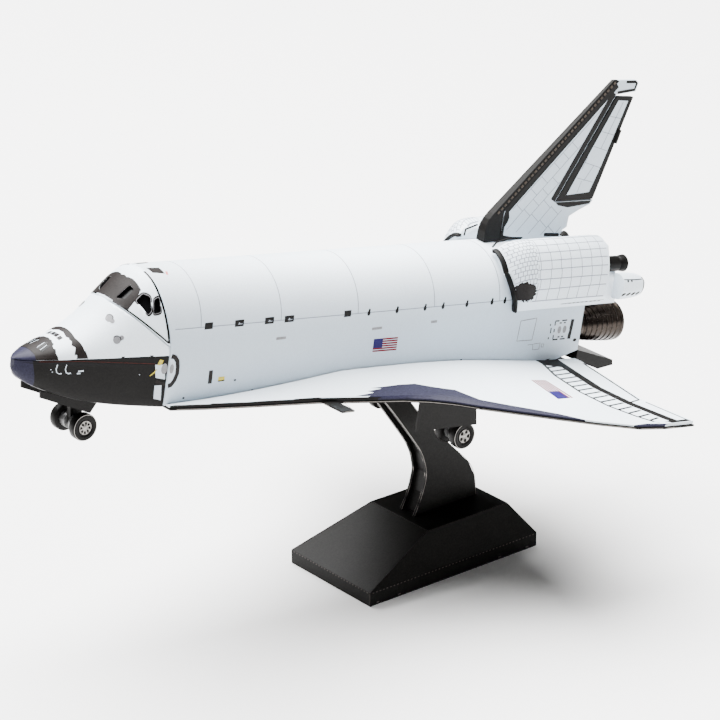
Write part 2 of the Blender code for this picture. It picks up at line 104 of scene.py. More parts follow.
def grainFinish(name, shadedLow=False):
    # Fine print grain, a slow change over centimetres, and a little bump; if asked, painted shade that darkens the
    # colour low on the body
    colour, roughness, metallic, grain, show, bump = finishes[name]
    material = bpy.data.materials.new(name)
    material.use_nodes = True
    tree = material.node_tree
    shader = tree.nodes["Principled BSDF"]
    shader.inputs["Metallic"].default_value = metallic
    shader.inputs["Specular IOR Level"].default_value = 0.4 if metallic or colour[1] > 0.1 else 0.08
    place = tree.nodes.new("ShaderNodeTexCoord")
    fine = tree.nodes.new("ShaderNodeTexNoise")
    fine.inputs["Scale"].default_value = 1 / (grain * mm)
    fine.inputs["Detail"].default_value = 2.0
    slow = tree.nodes.new("ShaderNodeTexNoise")
    slow.inputs["Scale"].default_value = 1 / (9 * mm)
    slow.inputs["Detail"].default_value = 3.0
    mixed = tree.nodes.new("ShaderNodeMath")
    mixed.operation = "MULTIPLY_ADD"
    mixed.inputs[1].default_value = 0.35
    ramp = tree.nodes.new("ShaderNodeValToRGB")
    low, high = ramp.color_ramp.elements
    low.position, high.position = 0.42, 0.95
    low.color = (*[c * (1 - show) for c in colour], 1)
    high.color = (*[min(1.0, c * (1 + show)) for c in colour], 1)
    rough = tree.nodes.new("ShaderNodeMapRange")
    rough.inputs["To Min"].default_value = roughness - 0.07
    rough.inputs["To Max"].default_value = roughness + 0.07
    relief = tree.nodes.new("ShaderNodeBump")
    relief.inputs["Strength"].default_value = bump
    relief.inputs["Distance"].default_value = 0.02 * mm
    link = tree.links.new
    link(place.outputs["Object"], fine.inputs["Vector"])
    link(place.outputs["Object"], slow.inputs["Vector"])
    link(slow.outputs["Fac"], mixed.inputs[0])
    link(fine.outputs["Fac"], mixed.inputs[2])
    link(mixed.outputs[0], ramp.inputs["Fac"])
    # Painted shade: the colour is multiplied down to a darker, bluer tone from the arch down the sides
    if shadedLow:
        level = tree.nodes.new("ShaderNodeMapping")
        level.vector_type = "POINT"
        level.inputs["Rotation"].default_value = (0, -math.radians(pose["pitch"]), 0)
        split = tree.nodes.new("ShaderNodeSeparateXYZ")
        share = tree.nodes.new("ShaderNodeMapRange")
        share.interpolation_type = "SMOOTHSTEP"
        base = (shuttleTurn.inverted() @ shuttleOrigin).z
        share.inputs["From Min"].default_value = base + bodyPaintedShade["low"] * mm
        share.inputs["From Max"].default_value = base + bodyPaintedShade["high"] * mm
        shadeRamp = tree.nodes.new("ShaderNodeValToRGB")
        shadeRamp.color_ramp.elements[0].color = (bodyPaintedShade["red"], bodyPaintedShade["green"], bodyPaintedShade["blue"], 1)
        shadeRamp.color_ramp.elements[1].color = (1, 1, 1, 1)
        both = tree.nodes.new("ShaderNodeMix")
        both.data_type = "RGBA"
        both.blend_type = "MULTIPLY"
        both.inputs["Factor"].default_value = 1.0
        link(place.outputs["Object"], level.inputs["Vector"])
        link(level.outputs["Vector"], split.inputs["Vector"])
        link(split.outputs["Z"], share.inputs["Value"])
        link(share.outputs["Result"], shadeRamp.inputs["Fac"])
        link(ramp.outputs["Color"], both.inputs[6])
        link(shadeRamp.outputs["Color"], both.inputs[7])
        link(both.outputs[2], shader.inputs["Base Color"])
    else:
        link(ramp.outputs["Color"], shader.inputs["Base Color"])
    link(slow.outputs["Fac"], rough.inputs["Value"])
    link(rough.outputs["Result"], shader.inputs["Roughness"])
    link(fine.outputs["Fac"], relief.inputs["Height"])
    link(relief.outputs["Normal"], shader.inputs["Normal"])
    return material


looks = {name: grainFinish(name) for name in finishes}
# The body's white print with painted shade low on its sides
looks["bodyPrint"] = grainFinish("whitePrint", True)
looks["bodyPrint"].name = "bodyPrint"
print("finishes:", len(looks))


# Mesh helpers

def newPiece(name, points, faces, look, smooth=True, place=shuttleFrame, angle=35):
    # Points are in the frame named by place; the finished object sits at the origin
    mesh = bpy.data.meshes.new(name)
    mesh.from_pydata([place @ Vector(p) for p in points], [], faces)
    work = bmesh.new()
    work.from_mesh(mesh)
    bmesh.ops.remove_doubles(work, verts=work.verts, dist=1e-7)
    bmesh.ops.recalc_face_normals(work, faces=work.faces)
    if work.calc_volume(signed=True) < 0:
        bmesh.ops.reverse_faces(work, faces=work.faces)
    work.to_mesh(mesh)
    work.free()
    item = bpy.data.objects.new(name, mesh)
    bpy.context.scene.collection.objects.link(item)
    dress(item, look, smooth, angle)
    return item


def dress(item, look, smooth=True, angle=35):
    item.data.materials.clear()
    item.data.materials.append(looks[look])
    if smooth:
        item.data.shade_smooth()
        item.data.set_sharp_from_angle(angle=math.radians(angle))


def settle(item, body="orbiter", *stoodFor):
    # Applies what modifiers there are, and puts the piece on its body
    if item.modifiers:
        shape = bpy.data.meshes.new_from_object(item.evaluated_get(bpy.context.evaluated_depsgraph_get()))
        item.modifiers.clear()
        item.data = shape
    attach(item, body)
    if stoodFor:
        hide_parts(*stoodFor)
    return item


def loft(sections, closed=True):
    # Joins sections of equal length; the ends are capped
    count = len(sections[0])
    points = [p for section in sections for p in section]
    faces = [tuple(range(count)), tuple(range(len(points) - 1, len(points) - 1 - count, -1))]
    for s in range(len(sections) - 1):
        a, b = s * count, (s + 1) * count
        for i in range(count if closed else count - 1):
            j = (i + 1) % count
            faces.append((a + i, a + j, b + j, b + i))
    return points, faces


def slab(outline, low, high):
    return loft([[(x, y, z) for x, z in outline] for y in (low, high)])


def latheX(profile, steps, centre, droop=0.0):
    # Turns a profile of (x, radius) about the x axis, then droops it and moves it to its centre
    turn = Matrix.Rotation(math.radians(droop), 3, "Y")
    points, rings = [], []
    for along, radius in profile:
        if radius == 0:
            rings.append([len(points)] * steps)
            ring = [(0.0, 0.0)]
        else:
            rings.append(list(range(len(points), len(points) + steps)))
            ring = [(radius * math.cos(2 * math.pi * k / steps), radius * math.sin(2 * math.pi * k / steps))
                    for k in range(steps)]
        points += [tuple(turn @ Vector((along, u, v)) + Vector(centre)) for u, v in ring]
    faces = []
    for a, b in zip(rings, rings[1:]):
        for k in range(steps):
            n = (k + 1) % steps
            corner = []
            for v in (a[k], a[n], b[n], b[k]):
                if v not in corner:
                    corner.append(v)
            if len(corner) > 2:
                faces.append(tuple(corner))
    return points, faces


def smoothAt(table, x, column=1):
    # Reads a table along a smooth curve that never overshoots its rows
    xs = [row[0] for row in table]
    ys = [row[column] for row in table]
    if x <= xs[0]:
        return ys[0]
    if x >= xs[-1]:
        return ys[-1]
    steps = [b - a for a, b in zip(xs, xs[1:])]
    slopes = [(b - a) / h for a, b, h in zip(ys, ys[1:], steps)]
    k = max(i for i in range(len(steps)) if xs[i] <= x)

    def tangent(i):
        if i == 0:
            return slopes[0]
        if i == len(xs) - 1:
            return slopes[-1]
        a, b = slopes[i - 1], slopes[i]
        return 0.0 if a * b <= 0 else 2 * a * b / (a + b)

    h = steps[k]
    t = (x - xs[k]) / h
    return ((1 + 2 * t) * (1 - t) ** 2 * ys[k] + t * (1 - t) ** 2 * h * tangent(k)
            + t * t * (3 - 2 * t) * ys[k + 1] + t * t * (t - 1) * h * tangent(k + 1))


def paint(item, look, cuts, where, place=shuttleFrame):
    # Gives a new finish to the faces of a piece that lie in a region, cut cleanly along some planes
    item.data.materials.append(looks[look])
    slot = len(item.data.materials) - 1
    work = bmesh.new()
    work.from_mesh(item.data)
    for point, normal in cuts:
        bmesh.ops.bisect_plane(work, geom=work.verts[:] + work.edges[:] + work.faces[:], dist=1e-8,
                               plane_co=place @ Vector(point), plane_no=place.to_3x3() @ Vector(normal) / mm)
    back = place.inverted()
    for face in work.faces:
        if where(back @ face.calc_center_median()):
            face.material_index = slot
    work.to_mesh(item.data)
    work.free()


def carve(target, cutter, operation="DIFFERENCE"):
    step = target.modifiers.new(cutter.name, "BOOLEAN")
    step.object = cutter
    step.operation = operation
    step.solver = "EXACT"
    cutters.append(cutter)


def evenly(low, high, count):
    return [low + (high - low) * k / count for k in range(count + 1)]


cutters = []


# Print on a surface: thin closed patches that follow it

# Each aim gives the plane that an outline is drawn in: its two axes, and the way out of the surface
aims = {
    "port": ((1, 0, 0), (0, 0, 1), (0, -1, 0)),
    "starboard": ((1, 0, 0), (0, 0, 1), (0, 1, 0)),
    "top": ((1, 0, 0), (0, 1, 0), (0, 0, 1)),
    "under": ((1, 0, 0), (0, 1, 0), (0, 0, -1)),
    "rear": ((0, 1, 0), (0, 0, 1), (1, 0, 0)),
    "front": ((0, 1, 0), (0, 0, 1), (-1, 0, 0)),
}
ink = {}  # piece name: points, faces, look, body
trees = {}


def treeOf(item):
    if item.name not in trees:
        shape = item.evaluated_get(bpy.context.evaluated_depsgraph_get()).to_mesh()
        points = [item.matrix_world @ v.co for v in shape.vertices]
        trees[item.name] = BVHTree.FromPolygons([p / mm for p in points], [tuple(f.vertices) for f in shape.polygons])
    return trees[item.name]


def layDown(piece, look, surface, plane, points, faces, lift, place, body, sink=0.05):
    # Casts flat points on to the surface and closes them into a thin patch
    flat = None if callable(plane) else [Vector(a) for a in plane]
    origin = flat[3] if flat and len(flat) > 3 else Vector()
    turn = place.to_3x3() * (1 / mm)
    tree = treeOf(surface)
    store = ink.setdefault(piece, {"points": [], "faces": [], "look": look, "body": body})
    top, under = {}, {}
    for k, (a, b) in enumerate(points):
        if flat:
            start, out = origin + flat[0] * a + flat[1] * b, flat[2]
        else:
            start, out = plane(a, b)
        hit, normal, face, away = tree.ray_cast(place @ (start + out * 40) / mm, -(turn @ out), 90)
        if hit is None:
            continue
        if normal.dot(turn @ out) < 0:
            normal = -normal
        top[k] = len(store["points"])
        store["points"].append(hit + normal * lift)
        under[k] = len(store["points"])
        store["points"].append(hit - normal * sink)
    edges = {}
    for face in faces:
        if any(k not in top for k in face):
            continue
        ring = [points[k] for k in face]
        area = sum(p[0] * q[1] - q[0] * p[1] for p, q in zip(ring, ring[1:] + ring[:1]))
        handed = flat[0].cross(flat[1]).dot(flat[2]) if flat else 1
        if area * handed < 0:
            face = face[::-1]
        store["faces"].append(tuple(top[k] for k in face))
        store["faces"].append(tuple(under[k] for k in face[::-1]))
        for a, b in zip(face, face[1:] + face[:1]):
            edges[(a, b)] = edges.get((a, b), 0) + 1
    for a, b in edges:
        if (b, a) not in edges:
            store["faces"].append((top[b], top[a], under[a], under[b]))


def inside(point, outline):
    x, y = point
    within = False
    for (x0, y0), (x1, y1) in zip(outline, outline[1:] + outline[:1]):
        if (y0 > y) != (y1 > y) and x < x0 + (y - y0) * (x1 - x0) / (y1 - y0):
            within = not within
    return within


def divided(path, step, closed):
    out = []
    ends = list(zip(path, path[1:])) + ([(path[-1], path[0])] if closed else [])
    for (x0, y0), (x1, y1) in ends:
        count = max(1, math.ceil(math.hypot(x1 - x0, y1 - y0) / step))
        out += [(x0 + (x1 - x0) * k / count, y0 + (y1 - y0) * k / count) for k in range(count)]
    return out if closed else out + [path[-1]]


def patch(piece, look, surface, aim, outline, lift=0.02, step=3.0, place=shuttleFrame, body="orbiter", holes=()):
    # Prints a filled outline
    plane = aims[aim] if isinstance(aim, str) else aim
    ring = divided(list(outline), step, True)
    xs, ys = [p[0] for p in ring], [p[1] for p in ring]
    extra = []
    for i in range(int((max(xs) - min(xs)) / step) + 1):
        for j in range(int((max(ys) - min(ys)) / step) + 1):
            spot = (min(xs) + (i + 0.5) * step, min(ys) + (j + 0.5) * step)
            clear = min(math.dist(spot, p) for p in ring) > step * 0.45
            if clear and inside(spot, ring) and not any(inside(spot, hole) for hole in holes):
                extra.append(spot)
    rim = [(k, (k + 1) % len(ring)) for k in range(len(ring))]
    for hole in holes:
        first = len(ring)
        ring = ring + list(hole)
        rim += [(first + k, first + (k + 1) % len(hole)) for k in range(len(hole))]
    made = delaunay_2d_cdt([Vector(p) for p in ring + extra], rim, [], 1, 1e-6)
    spots = [tuple(p) for p in made[0]]
    faces = [tuple(f) for f in made[2]]
    for hole in holes:
        faces = [f for f in faces if not inside([sum(spots[k][c] for k in f) / len(f) for c in (0, 1)], hole)]
    layDown(piece, look, surface, plane, spots, faces, lift, place, body)


def stroke(piece, look, surface, aim, path, width, lift=0.02, step=1.2, closed=False, place=shuttleFrame,
           body="orbiter"):
    # Prints a line of even width
    plane = aims[aim] if isinstance(aim, str) else aim
    spots = divided(list(path), step, closed)
    count = len(spots)
    points, faces = [], []
    for k, (x, y) in enumerate(spots):
        before = spots[k - 1] if k or closed else spots[k]
        after = spots[(k + 1) % count] if k < count - 1 or closed else spots[k]
        dx, dy = after[0] - before[0], after[1] - before[1]
        size = math.hypot(dx, dy) or 1.0
        nx, ny = -dy / size * width / 2, dx / size * width / 2
        points += [(x + nx, y + ny), (x - nx, y - ny)]
    for k in range(count if closed else count - 1):
        n = (k + 1) % count
        faces.append((2 * k, 2 * k + 1, 2 * n + 1, 2 * n))
    layDown(piece, look, surface, plane, points, faces, lift, place, body)


def disc(x, y, radius, tall=None, tilt=0.0, steps=20):
    tall = radius if tall is None else tall
    turn = math.radians(tilt)
    ring = [(radius * math.cos(2 * math.pi * k / steps), tall * math.sin(2 * math.pi * k / steps))
            for k in range(steps)]
    return [(x + a * math.cos(turn) - b * math.sin(turn), y + a * math.sin(turn) + b * math.cos(turn))
            for a, b in ring]


def facing(surface, points, place=shuttleFrame):
    # A plane that faces the surface at the middle of some points on it, and the points drawn in it
    middle = sum((Vector(p) for p in points), Vector()) / len(points)
    spot, normal, face, away = treeOf(surface).find_nearest(place @ middle / mm)
    out = place.to_3x3().inverted() @ (normal * mm)
    u = Vector((0, 0, 1)).cross(out).normalized()
    v = out.cross(u)
    flat = [((Vector(p) - middle).dot(u), (Vector(p) - middle).dot(v)) for p in points]
    return (tuple(u), tuple(v), tuple(out), tuple(middle)), flat


def spot3d(piece, look, surface, points, lift=0.02, step=0.6):
    plane, flat = facing(surface, points)
    patch(piece, look, surface, plane, flat, lift, step)


def line3d(piece, look, surface, points, width, lift=0.02, step=0.6, closed=False):
    plane, flat = facing(surface, points)
    stroke(piece, look, surface, plane, flat, width, lift, step, closed)


def mirrored(points, sign):
    return [(x, y * -sign, z) for x, y, z in points]


def pressInk():
    # Makes one piece of everything printed under the same name
    for name, store in ink.items():
        mesh = bpy.data.meshes.new(name)
        mesh.from_pydata([Vector(p) * mm for p in store["points"]], [], store["faces"])
        item = bpy.data.objects.new(name, mesh)
        bpy.context.scene.collection.objects.link(item)
        dress(item, store["look"], angle=40)
        settle(item, store["body"])
    print("printed pieces:", len(ink))


# Nose and cockpit

noseShape = {
    # x, half width at the split, height of the split, top, roundness
    "upper": (
        (0.35, 0.20, 5.80, 5.92, 2.0), (0.6, 0.45, 5.85, 6.05, 2.0), (1.2, 1.10, 5.90, 6.40, 2.0),
        (3.0, 2.30, 6.05, 7.10, 2.0), (5.7, 3.30, 6.20, 8.15, 2.0), (8.4, 4.10, 6.35, 9.30, 2.0),
        (11.0, 4.85, 6.45, 10.9, 2.05), (13.2, 5.40, 6.55, 12.75, 2.15), (13.9, 5.60, 6.60, 13.4, 2.2),
        (16.0, 6.10, 6.70, 15.3, 2.3), (18.0, 6.60, 6.75, 16.65, 2.4), (19.8, 6.95, 6.80, 16.85, 2.45),
    ),
    # x, half width at the split, height of the split, half width at the chine, bottom
    "lower": (
        (0.6, 0.45, 5.85, 0.30, 4.30), (1.2, 1.10, 5.90, 0.80, 3.50), (3.0, 2.30, 6.05, 1.80, 2.40),
        (5.7, 3.30, 6.20, 2.90, 1.50), (9.5, 4.40, 6.40, 4.00, 0.55), (14.4, 5.70, 6.62, 5.35, 0.00),
        (19.8, 6.95, 6.80, 6.85, -0.25),
    ),
    "cockpitSeam": ((13.5, 12.9), (19.8, 8.0)),
    "rearSeam": ((19.8, 8.0), (18.3, 16.8), (18.3, 18.5)),
    "gap": 0.10,
    "rings": 64, "steps": 40,
    "windowDepth": 0.45,
    "cap": ((2.7, 0, 6.5), (2.35, 0, 5.9)), "capLean": 0.19,
}
# Windows and their dark frames on the port side, as points on the cockpit: x, y, z
windows = {
    "front": ((14.15, -1.75, 13.32), (15.95, -1.98, 14.98), (16.05, -2.85, 14.62), (14.85, -2.95, 13.45)),
    "middle": ((15.73, -3.96, 13.47), (16.71, -3.94, 14.32), (17.35, -4.60, 14.05), (17.20, -5.45, 12.50),
               (16.74, -5.46, 12.05)),
    "side": ((17.75, -5.02, 13.75), (18.45, -4.95, 14.05), (18.45, -5.72, 12.35), (17.45, -5.68, 12.15)),
}


def upperRing(x, steps):
    half, split, top, n = [smoothAt(noseShape["upper"], x, c) for c in (1, 2, 3, 4)]
    ring = []
    for k in range(steps + 1):
        turn = math.pi * k / steps
        reach = abs(math.cos(turn)) ** (2 / n) * (1 if math.cos(turn) > 0 else -1)
        ring.append((x, -half * reach, split + (top - split) * math.sin(turn) ** (2 / n)))
    return ring


def lowerRing(x):
    half, split, chine, bottom = [smoothAt(noseShape["lower"], x, c) for c in (1, 2, 3, 4)]
    split -= noseShape["gap"]
    side = [(-half, split), (-half * 0.995, bottom + 0.75 * (split - bottom)),
            (-half * 0.99, bottom + 0.45 * (split - bottom)), (-(half + chine) / 2, bottom + 0.2 * (split - bottom)),
            (-chine, bottom + 0.35), (-chine + 0.15, bottom + 0.1), (-chine + 0.4, bottom)]
    return [(x, y, z) for y, z in side] + [(x, -y, z) for y, z in reversed(side)]


def noseStations(first, last):
    # Closer together near the tip
    return [first + (last - first) * (k / noseShape["rings"]) ** 1.4 for k in range(noseShape["rings"] + 1)]


def makeNose():
    gap = noseShape["gap"]
    shell = loft([upperRing(x, noseShape["steps"]) for x in noseStations(0.35, 19.8)])
    upper = newPiece("noseShell", *shell, "whitePrint")
    canopy = newPiece("canopyShell", *shell, "whitePrint")
    first, last = noseShape["cockpitSeam"]
    below = [(first[0] - gap, 19), (first[0] - gap, first[1] - gap), (last[0] - gap, last[1] - gap),
             (last[0] + 5, last[1] - gap), (last[0] + 5, 19)]
    above = [(first[0], 18.5), first, *noseShape["rearSeam"]]
    carve(upper, newPiece("noseCutter", *slab(below, -12, 12), "whitePrint"))
    carve(canopy, newPiece("canopyCutter", *slab(above, -12, 12), "whitePrint"), "INTERSECT")
    canopy.data.materials.append(looks["glassBlack"])
    # Each window is cut as a pocket, and its walls are painted black as the shade inside the hole
    for name, outline in windows.items():
        for side, sign in sides:
            points = mirrored(outline, sign) if sign > 0 else list(outline)
            plane, flat = facing(canopy, points)
            u, v, out, middle = [Vector(a) for a in plane]
            depth = noseShape["windowDepth"]
            rows = [[tuple(middle + u * a + v * b + out * h) for a, b in rounded(flat, 0.25)] for h in (-depth, depth * 2)]
            cutter = newPiece("window" + name + side, *loft(rows), "glassBlack")
            cutter.data.materials.clear()
            cutter.data.materials.append(looks["whitePrint"])
            cutter.data.materials.append(looks["glassBlack"])
            for face in cutter.data.polygons:
                face.material_index = 1
            carve(canopy, cutter)
    settle(upper, "orbiter", "upper_nose")
    settle(canopy, "orbiter", "cockpit")
    lower = newPiece("lowerNose", *loft([lowerRing(x) for x in noseStations(0.6, 19.8)]), "blackPrint", angle=30)
    # The blue-grey cap: its rear edge leans back below
    cap = noseShape["cap"]
    paint(upper, "slatePrint", [(cap[0], (1, 0, 0))], lambda p: p.x < cap[0][0])
    lean = noseShape["capLean"]
    paint(lower, "slatePrint", [(cap[1], (1, 0, lean))], lambda p: p.x - cap[1][0] + lean * (p.z - cap[1][2]) < 0)
    settle(lower, "orbiter", "lower_nose")
    return upper, canopy, lower


def rounded(outline, radius, steps=4):
    # Rounds the corners of a flat outline
    out = []
    count = len(outline)
    for k in range(count):
        before, here, after = [Vector(outline[(k + d) % count]) for d in (-1, 0, 1)]
        a, b = (before - here), (after - here)
        cut = min(radius, a.length * 0.45, b.length * 0.45)
        a, b = here + a.normalized() * cut, here + b.normalized() * cut
        for j in range(steps + 1):
            t = j / steps
            out.append(tuple(a * (1 - t) ** 2 + here * 2 * t * (1 - t) + b * t * t))
    return out


noseShell, canopyShell, lowerNose = makeNose()
print("nose and cockpit done")


# Wings

wingShape = {
    "leading": ((20.1, 8.0), (25.0, 9.0), (32.8, 10.1), (41.9, 11.2), (50.7, 13.15), (54.5, 13.95), (58.0, 15.37),
                (60.8, 17.23), (63.2, 19.62), (67.3, 23.12), (71.5, 26.63), (75.7, 29.98), (80.3, 32.99),
                (84.2, 33.89), (88.7, 34.1)),
    "trailing": ((7.2, 92.2), (8.8, 92.1), (12.4, 91.3), (24.5, 88.45), (34.1, 89.35)),
    "rootHeight": ((20.1, 0.3), (25.0, 0.45), (32.8, 0.9), (41.9, 1.7), (50.7, 2.5), (59.2, 2.5), (68.3, 2.27),
                   (77.7, 1.57), (85.7, 0.93), (92.2, 0.72)),
    "root": 7.2, "edgeHeight": 0.30, "outerHeight": 0.50, "band": 1.2, "bandShare": 0.3,
    "ribs": 72, "chord": 26, "foot": 0.1,
}


def linearAt(table, x, a=0, b=1):
    for p, q in zip(table, table[1:]):
        if min(p[a], q[a]) <= x <= max(p[a], q[a]) and p[a] != q[a]:
            return p[b] + (q[b] - p[b]) * (x - p[a]) / (q[a] - p[a])
    return table[0][b] if abs(x - table[0][a]) < abs(x - table[-1][a]) else table[-1][b]


def wingHeight(x, y):
    out = (y - wingShape["root"]) / (linearAt(wingShape["leading"], x) - wingShape["root"])
    return smoothAt(wingShape["rootHeight"], x) * (1 - out) + wingShape["outerHeight"] * out


def wingRib(y, sign):
    nose = linearAt(wingShape["leading"], y, 1, 0)
    tail = linearAt(wingShape["trailing"], y)
    band = nose + min(wingShape["band"], wingShape["bandShare"] * (tail - nose))
    rib = [(nose, wingShape["foot"]), (nose, wingShape["edgeHeight"])]
    for x in evenly(band, tail, wingShape["chord"]):
        rib.append((x, wingHeight(x, y)))
    rib.append((tail, wingShape["foot"]))
    return [(x, sign * y, z) for x, z in rib]


def makeWings():
    made = []
    rows = [wingShape["root"]] + [y for x, y in wingShape["leading"]]
    ribs = []
    for low, high in zip(rows, rows[1:]):
        ribs += evenly(low, high, max(1, round((high - low) / 0.5)))[:-1]
    ribs.append(rows[-1])
    for side, sign in sides:
        wing = newPiece(side + "Wing", *loft([wingRib(y, sign) for y in ribs]), "whitePrint", angle=20)
        made.append(settle(wing, "orbiter", side + "_wing"))
    return made


portWing, starboardWing = makeWings()
print("wings done")


# The body: flat sides folded from the same sheet as the curved bay doors
bodySheetShape = {
    "half": 7.1, "archRadius": 7.128, "archCentre": 9.672, "doorLine": 10.3, "foot": 0.1, "rear": 92.6,
    "riseFrom": 86.0, "rise": 1.9, "steps": 72,
    "frontEdge": ((19.9, -2.0), (19.9, 8.0), (18.4, 16.8), (18.4, 18.0)),
}


def archHeight(y):
    shape = bodySheetShape
    return shape["archCentre"] + math.sqrt(max(0.0, shape["archRadius"] ** 2 - y * y))


def makeBodySheet():
    shape = bodySheetShape
    low = math.asin((shape["doorLine"] - shape["archCentre"]) / shape["archRadius"])

    def section(x, foot):
        ring = [(x, -shape["half"], foot)]
        for turn in evenly(math.pi - low, low, shape["steps"]):
            ring.append((x, shape["archRadius"] * math.cos(turn),
                         shape["archCentre"] + shape["archRadius"] * math.sin(turn)))
        return ring + [(x, shape["half"], foot)]

    foot = shape["foot"]
    # The sheet wears the white print with painted shade low on its sides
    body = newPiece("bodySheet", *loft([section(18.3, foot), section(shape["riseFrom"], foot),
                                        section(shape["rear"], shape["rise"])]), "bodyPrint", angle=25)
    edge = shape["frontEdge"]
    ahead = [(edge[-1][0] - 5, edge[-1][1]), (edge[0][0] - 5, edge[0][1]), *edge]
    carve(body, newPiece("bodyCutter", *slab(ahead, -12, 12), "bodyPrint"))
    return settle(body, "orbiter", "mid_fuselage")


bodySheet = makeBodySheet()
print("body done")


# The pods beside the fin
podShape = {
    # x, inner y, width and height of the section
    "stations": ((76.7, 4.0, 0.26, 0.26), (77.2, 3.85, 0.50, 0.50), (78.0, 3.6, 0.76, 0.76), (79.2, 3.3, 0.95, 0.95),
                 (81.0, 2.5, 1.0, 1.0), (92.4, 2.5, 1.0, 1.0), (94.6, 2.5, 0.97, 0.92)),
    "outer": ((2.9, 17.1), (4.2, 18.0), (6.0, 18.4), (7.6, 17.5), (8.6, 15.6), (9.0, 13.0), (8.7, 10.2)),
    "skirt": 8.6, "noseRake": (14.1, 0.40), "rearRake": (17.7, 13.4, 0.84), "rings": 44, "across": 36,
    "controlStations": ((96.4, 1.0), (97.4, 1.0), (99.2, 0.93), (100.5, 0.78), (101.0, 0.6)),
    "controlSection": ((-1.0, -1.9), (0.6, -1.7), (1.2, -0.4), (1.1, 1.2), (0.2, 1.9), (-1.0, 1.9)),
    "controlCentre": (9.25, 11.6),
    "tileRows": (-4.5, 4.1, 1.12), "tileColumns": (81.3, 94.0, 1.95), "smallTile": (0.56, 0.62), "lineWidth": 0.085,
    "darkPatch": (79.15, 11.75, 1.75, 1.5), "edgeWidth": 0.52,
}


def curved(points, count):
    # An even run of points along a smooth curve through the given ones
    rows = [2 * Vector(points[0]) - Vector(points[1])] + [Vector(p) for p in points]
    rows.append(2 * rows[-1] - rows[-2])
    fine = []
    for k in range(1, len(rows) - 2):
        a, b, c, d = rows[k - 1:k + 3]
        for t in evenly(0, 1, 12)[:-1]:
            fine.append(0.5 * (2 * b + (c - a) * t + (2 * a - 5 * b + 4 * c - d) * t * t
                               + (3 * b - a - 3 * c + d) * t * t * t))
    fine.append(rows[-2])
    lengths = [0.0]
    for a, b in zip(fine, fine[1:]):
        lengths.append(lengths[-1] + (b - a).length)
    out, k = [], 0
    for s in evenly(0, lengths[-1], count):
        while k < len(fine) - 2 and lengths[k + 1] < s:
            k += 1
        t = (s - lengths[k]) / max(1e-9, lengths[k + 1] - lengths[k])
        out.append(tuple(fine[k].lerp(fine[k + 1], min(1.0, t))))
    return out


podOuterCurve = curved(podShape["outer"], podShape["across"])


def podRing(x, sign):
    shape, body = podShape, bodySheetShape
    inside, wide, tall = [smoothAt(shape["stations"], x, c) for c in (1, 2, 3)]
    half = body["half"]
    ring = [(half + 0.2, shape["skirt"]), (half + 0.2, body["doorLine"])]
    first = math.asin((body["doorLine"] - body["archCentre"]) / body["archRadius"])
    for turn in evenly(first, math.acos(inside / body["archRadius"]), 8)[1:]:
        reach = body["archRadius"] + 0.2
        ring.append((reach * math.cos(turn), body["archCentre"] + reach * math.sin(turn)))
    for y, z in podOuterCurve:
        y = max(y, inside + 0.4 * (y - 2.5))
        away = math.hypot(y, z - body["archCentre"])
        reach = body["archRadius"] + 0.25
        lowY, lowZ = y * reach / away, body["archCentre"] + (z - body["archCentre"]) * reach / away
        if z < 11.5:
            lowY, lowZ = lowY + (half + 0.25 - lowY) * min(1.0, (11.5 - z) / 1.3), lowZ + (z - lowZ) * min(1.0, (11.5 - z) / 1.3)
        ring.append((lowY + (y - lowY) * wide, lowZ + (z - lowZ) * (wide + tall) / 2))
    rearTop, rearFoot, slope = shape["rearRake"]
    late = max(0.0, (x - 92.4) / 2.2)
    below, lean = shape["noseRake"]
    fade = max(0.0, 1 - (x - shape["stations"][0][0]) / 6)
    out = []
    for y, z in ring:
        shift = lean * fade * max(0.0, below - z)
        if y < 7.7 and z < rearTop:
            shift += late * slope * (rearTop - max(z, rearFoot))
        out.append((x + shift, sign * y, z))
    return out


def podAim(sign):
    # A view square to the pod's shoulder
    return ((1, 0, 0), (0, -0.66 * sign, 0.751), (0, 0.751 * sign, 0.66), (0, 6 * sign, 14))


def podV(y, z):
    return (6 - y) * 0.66 + (z - 14) * 0.751


def makePods():
    shape = podShape
    first, last = shape["stations"][0][0], shape["stations"][-1][0]
    xs = evenly(first, 82.5, 26)[:-1] + evenly(82.5, last, 14)
    made = {}
    for side, sign in sides:
        pod = newPiece(side + "Pod", *loft([podRing(x, sign) for x in xs]), "whitePrint", angle=28)
        made[side] = settle(pod, "orbiter", side + "_orbital_pod")
        y0, z0 = shape["controlCentre"]
        section = rounded(shape["controlSection"], 0.35, 3)
        rings = [[(x, sign * (y0 + y * scale), z0 + z * scale) for y, z in section]
                 for x, scale in [(x, smoothAt(shape["controlStations"], x)) for x in evenly(96.4, 101.0, 12)]]
        pod = newPiece(side + "ControlPod", *loft(rings), "whitePrint", angle=28)
        made[side + "Control"] = settle(pod, "orbiter", side + "_control_pod")
    return made


pods = makePods()
print("pods done")


def jitter(k):
    # The same small unevenness each time, from -1 to 1
    return math.sin(k * 12.9898) * 43758.5453 % 1.0 * 2 - 1


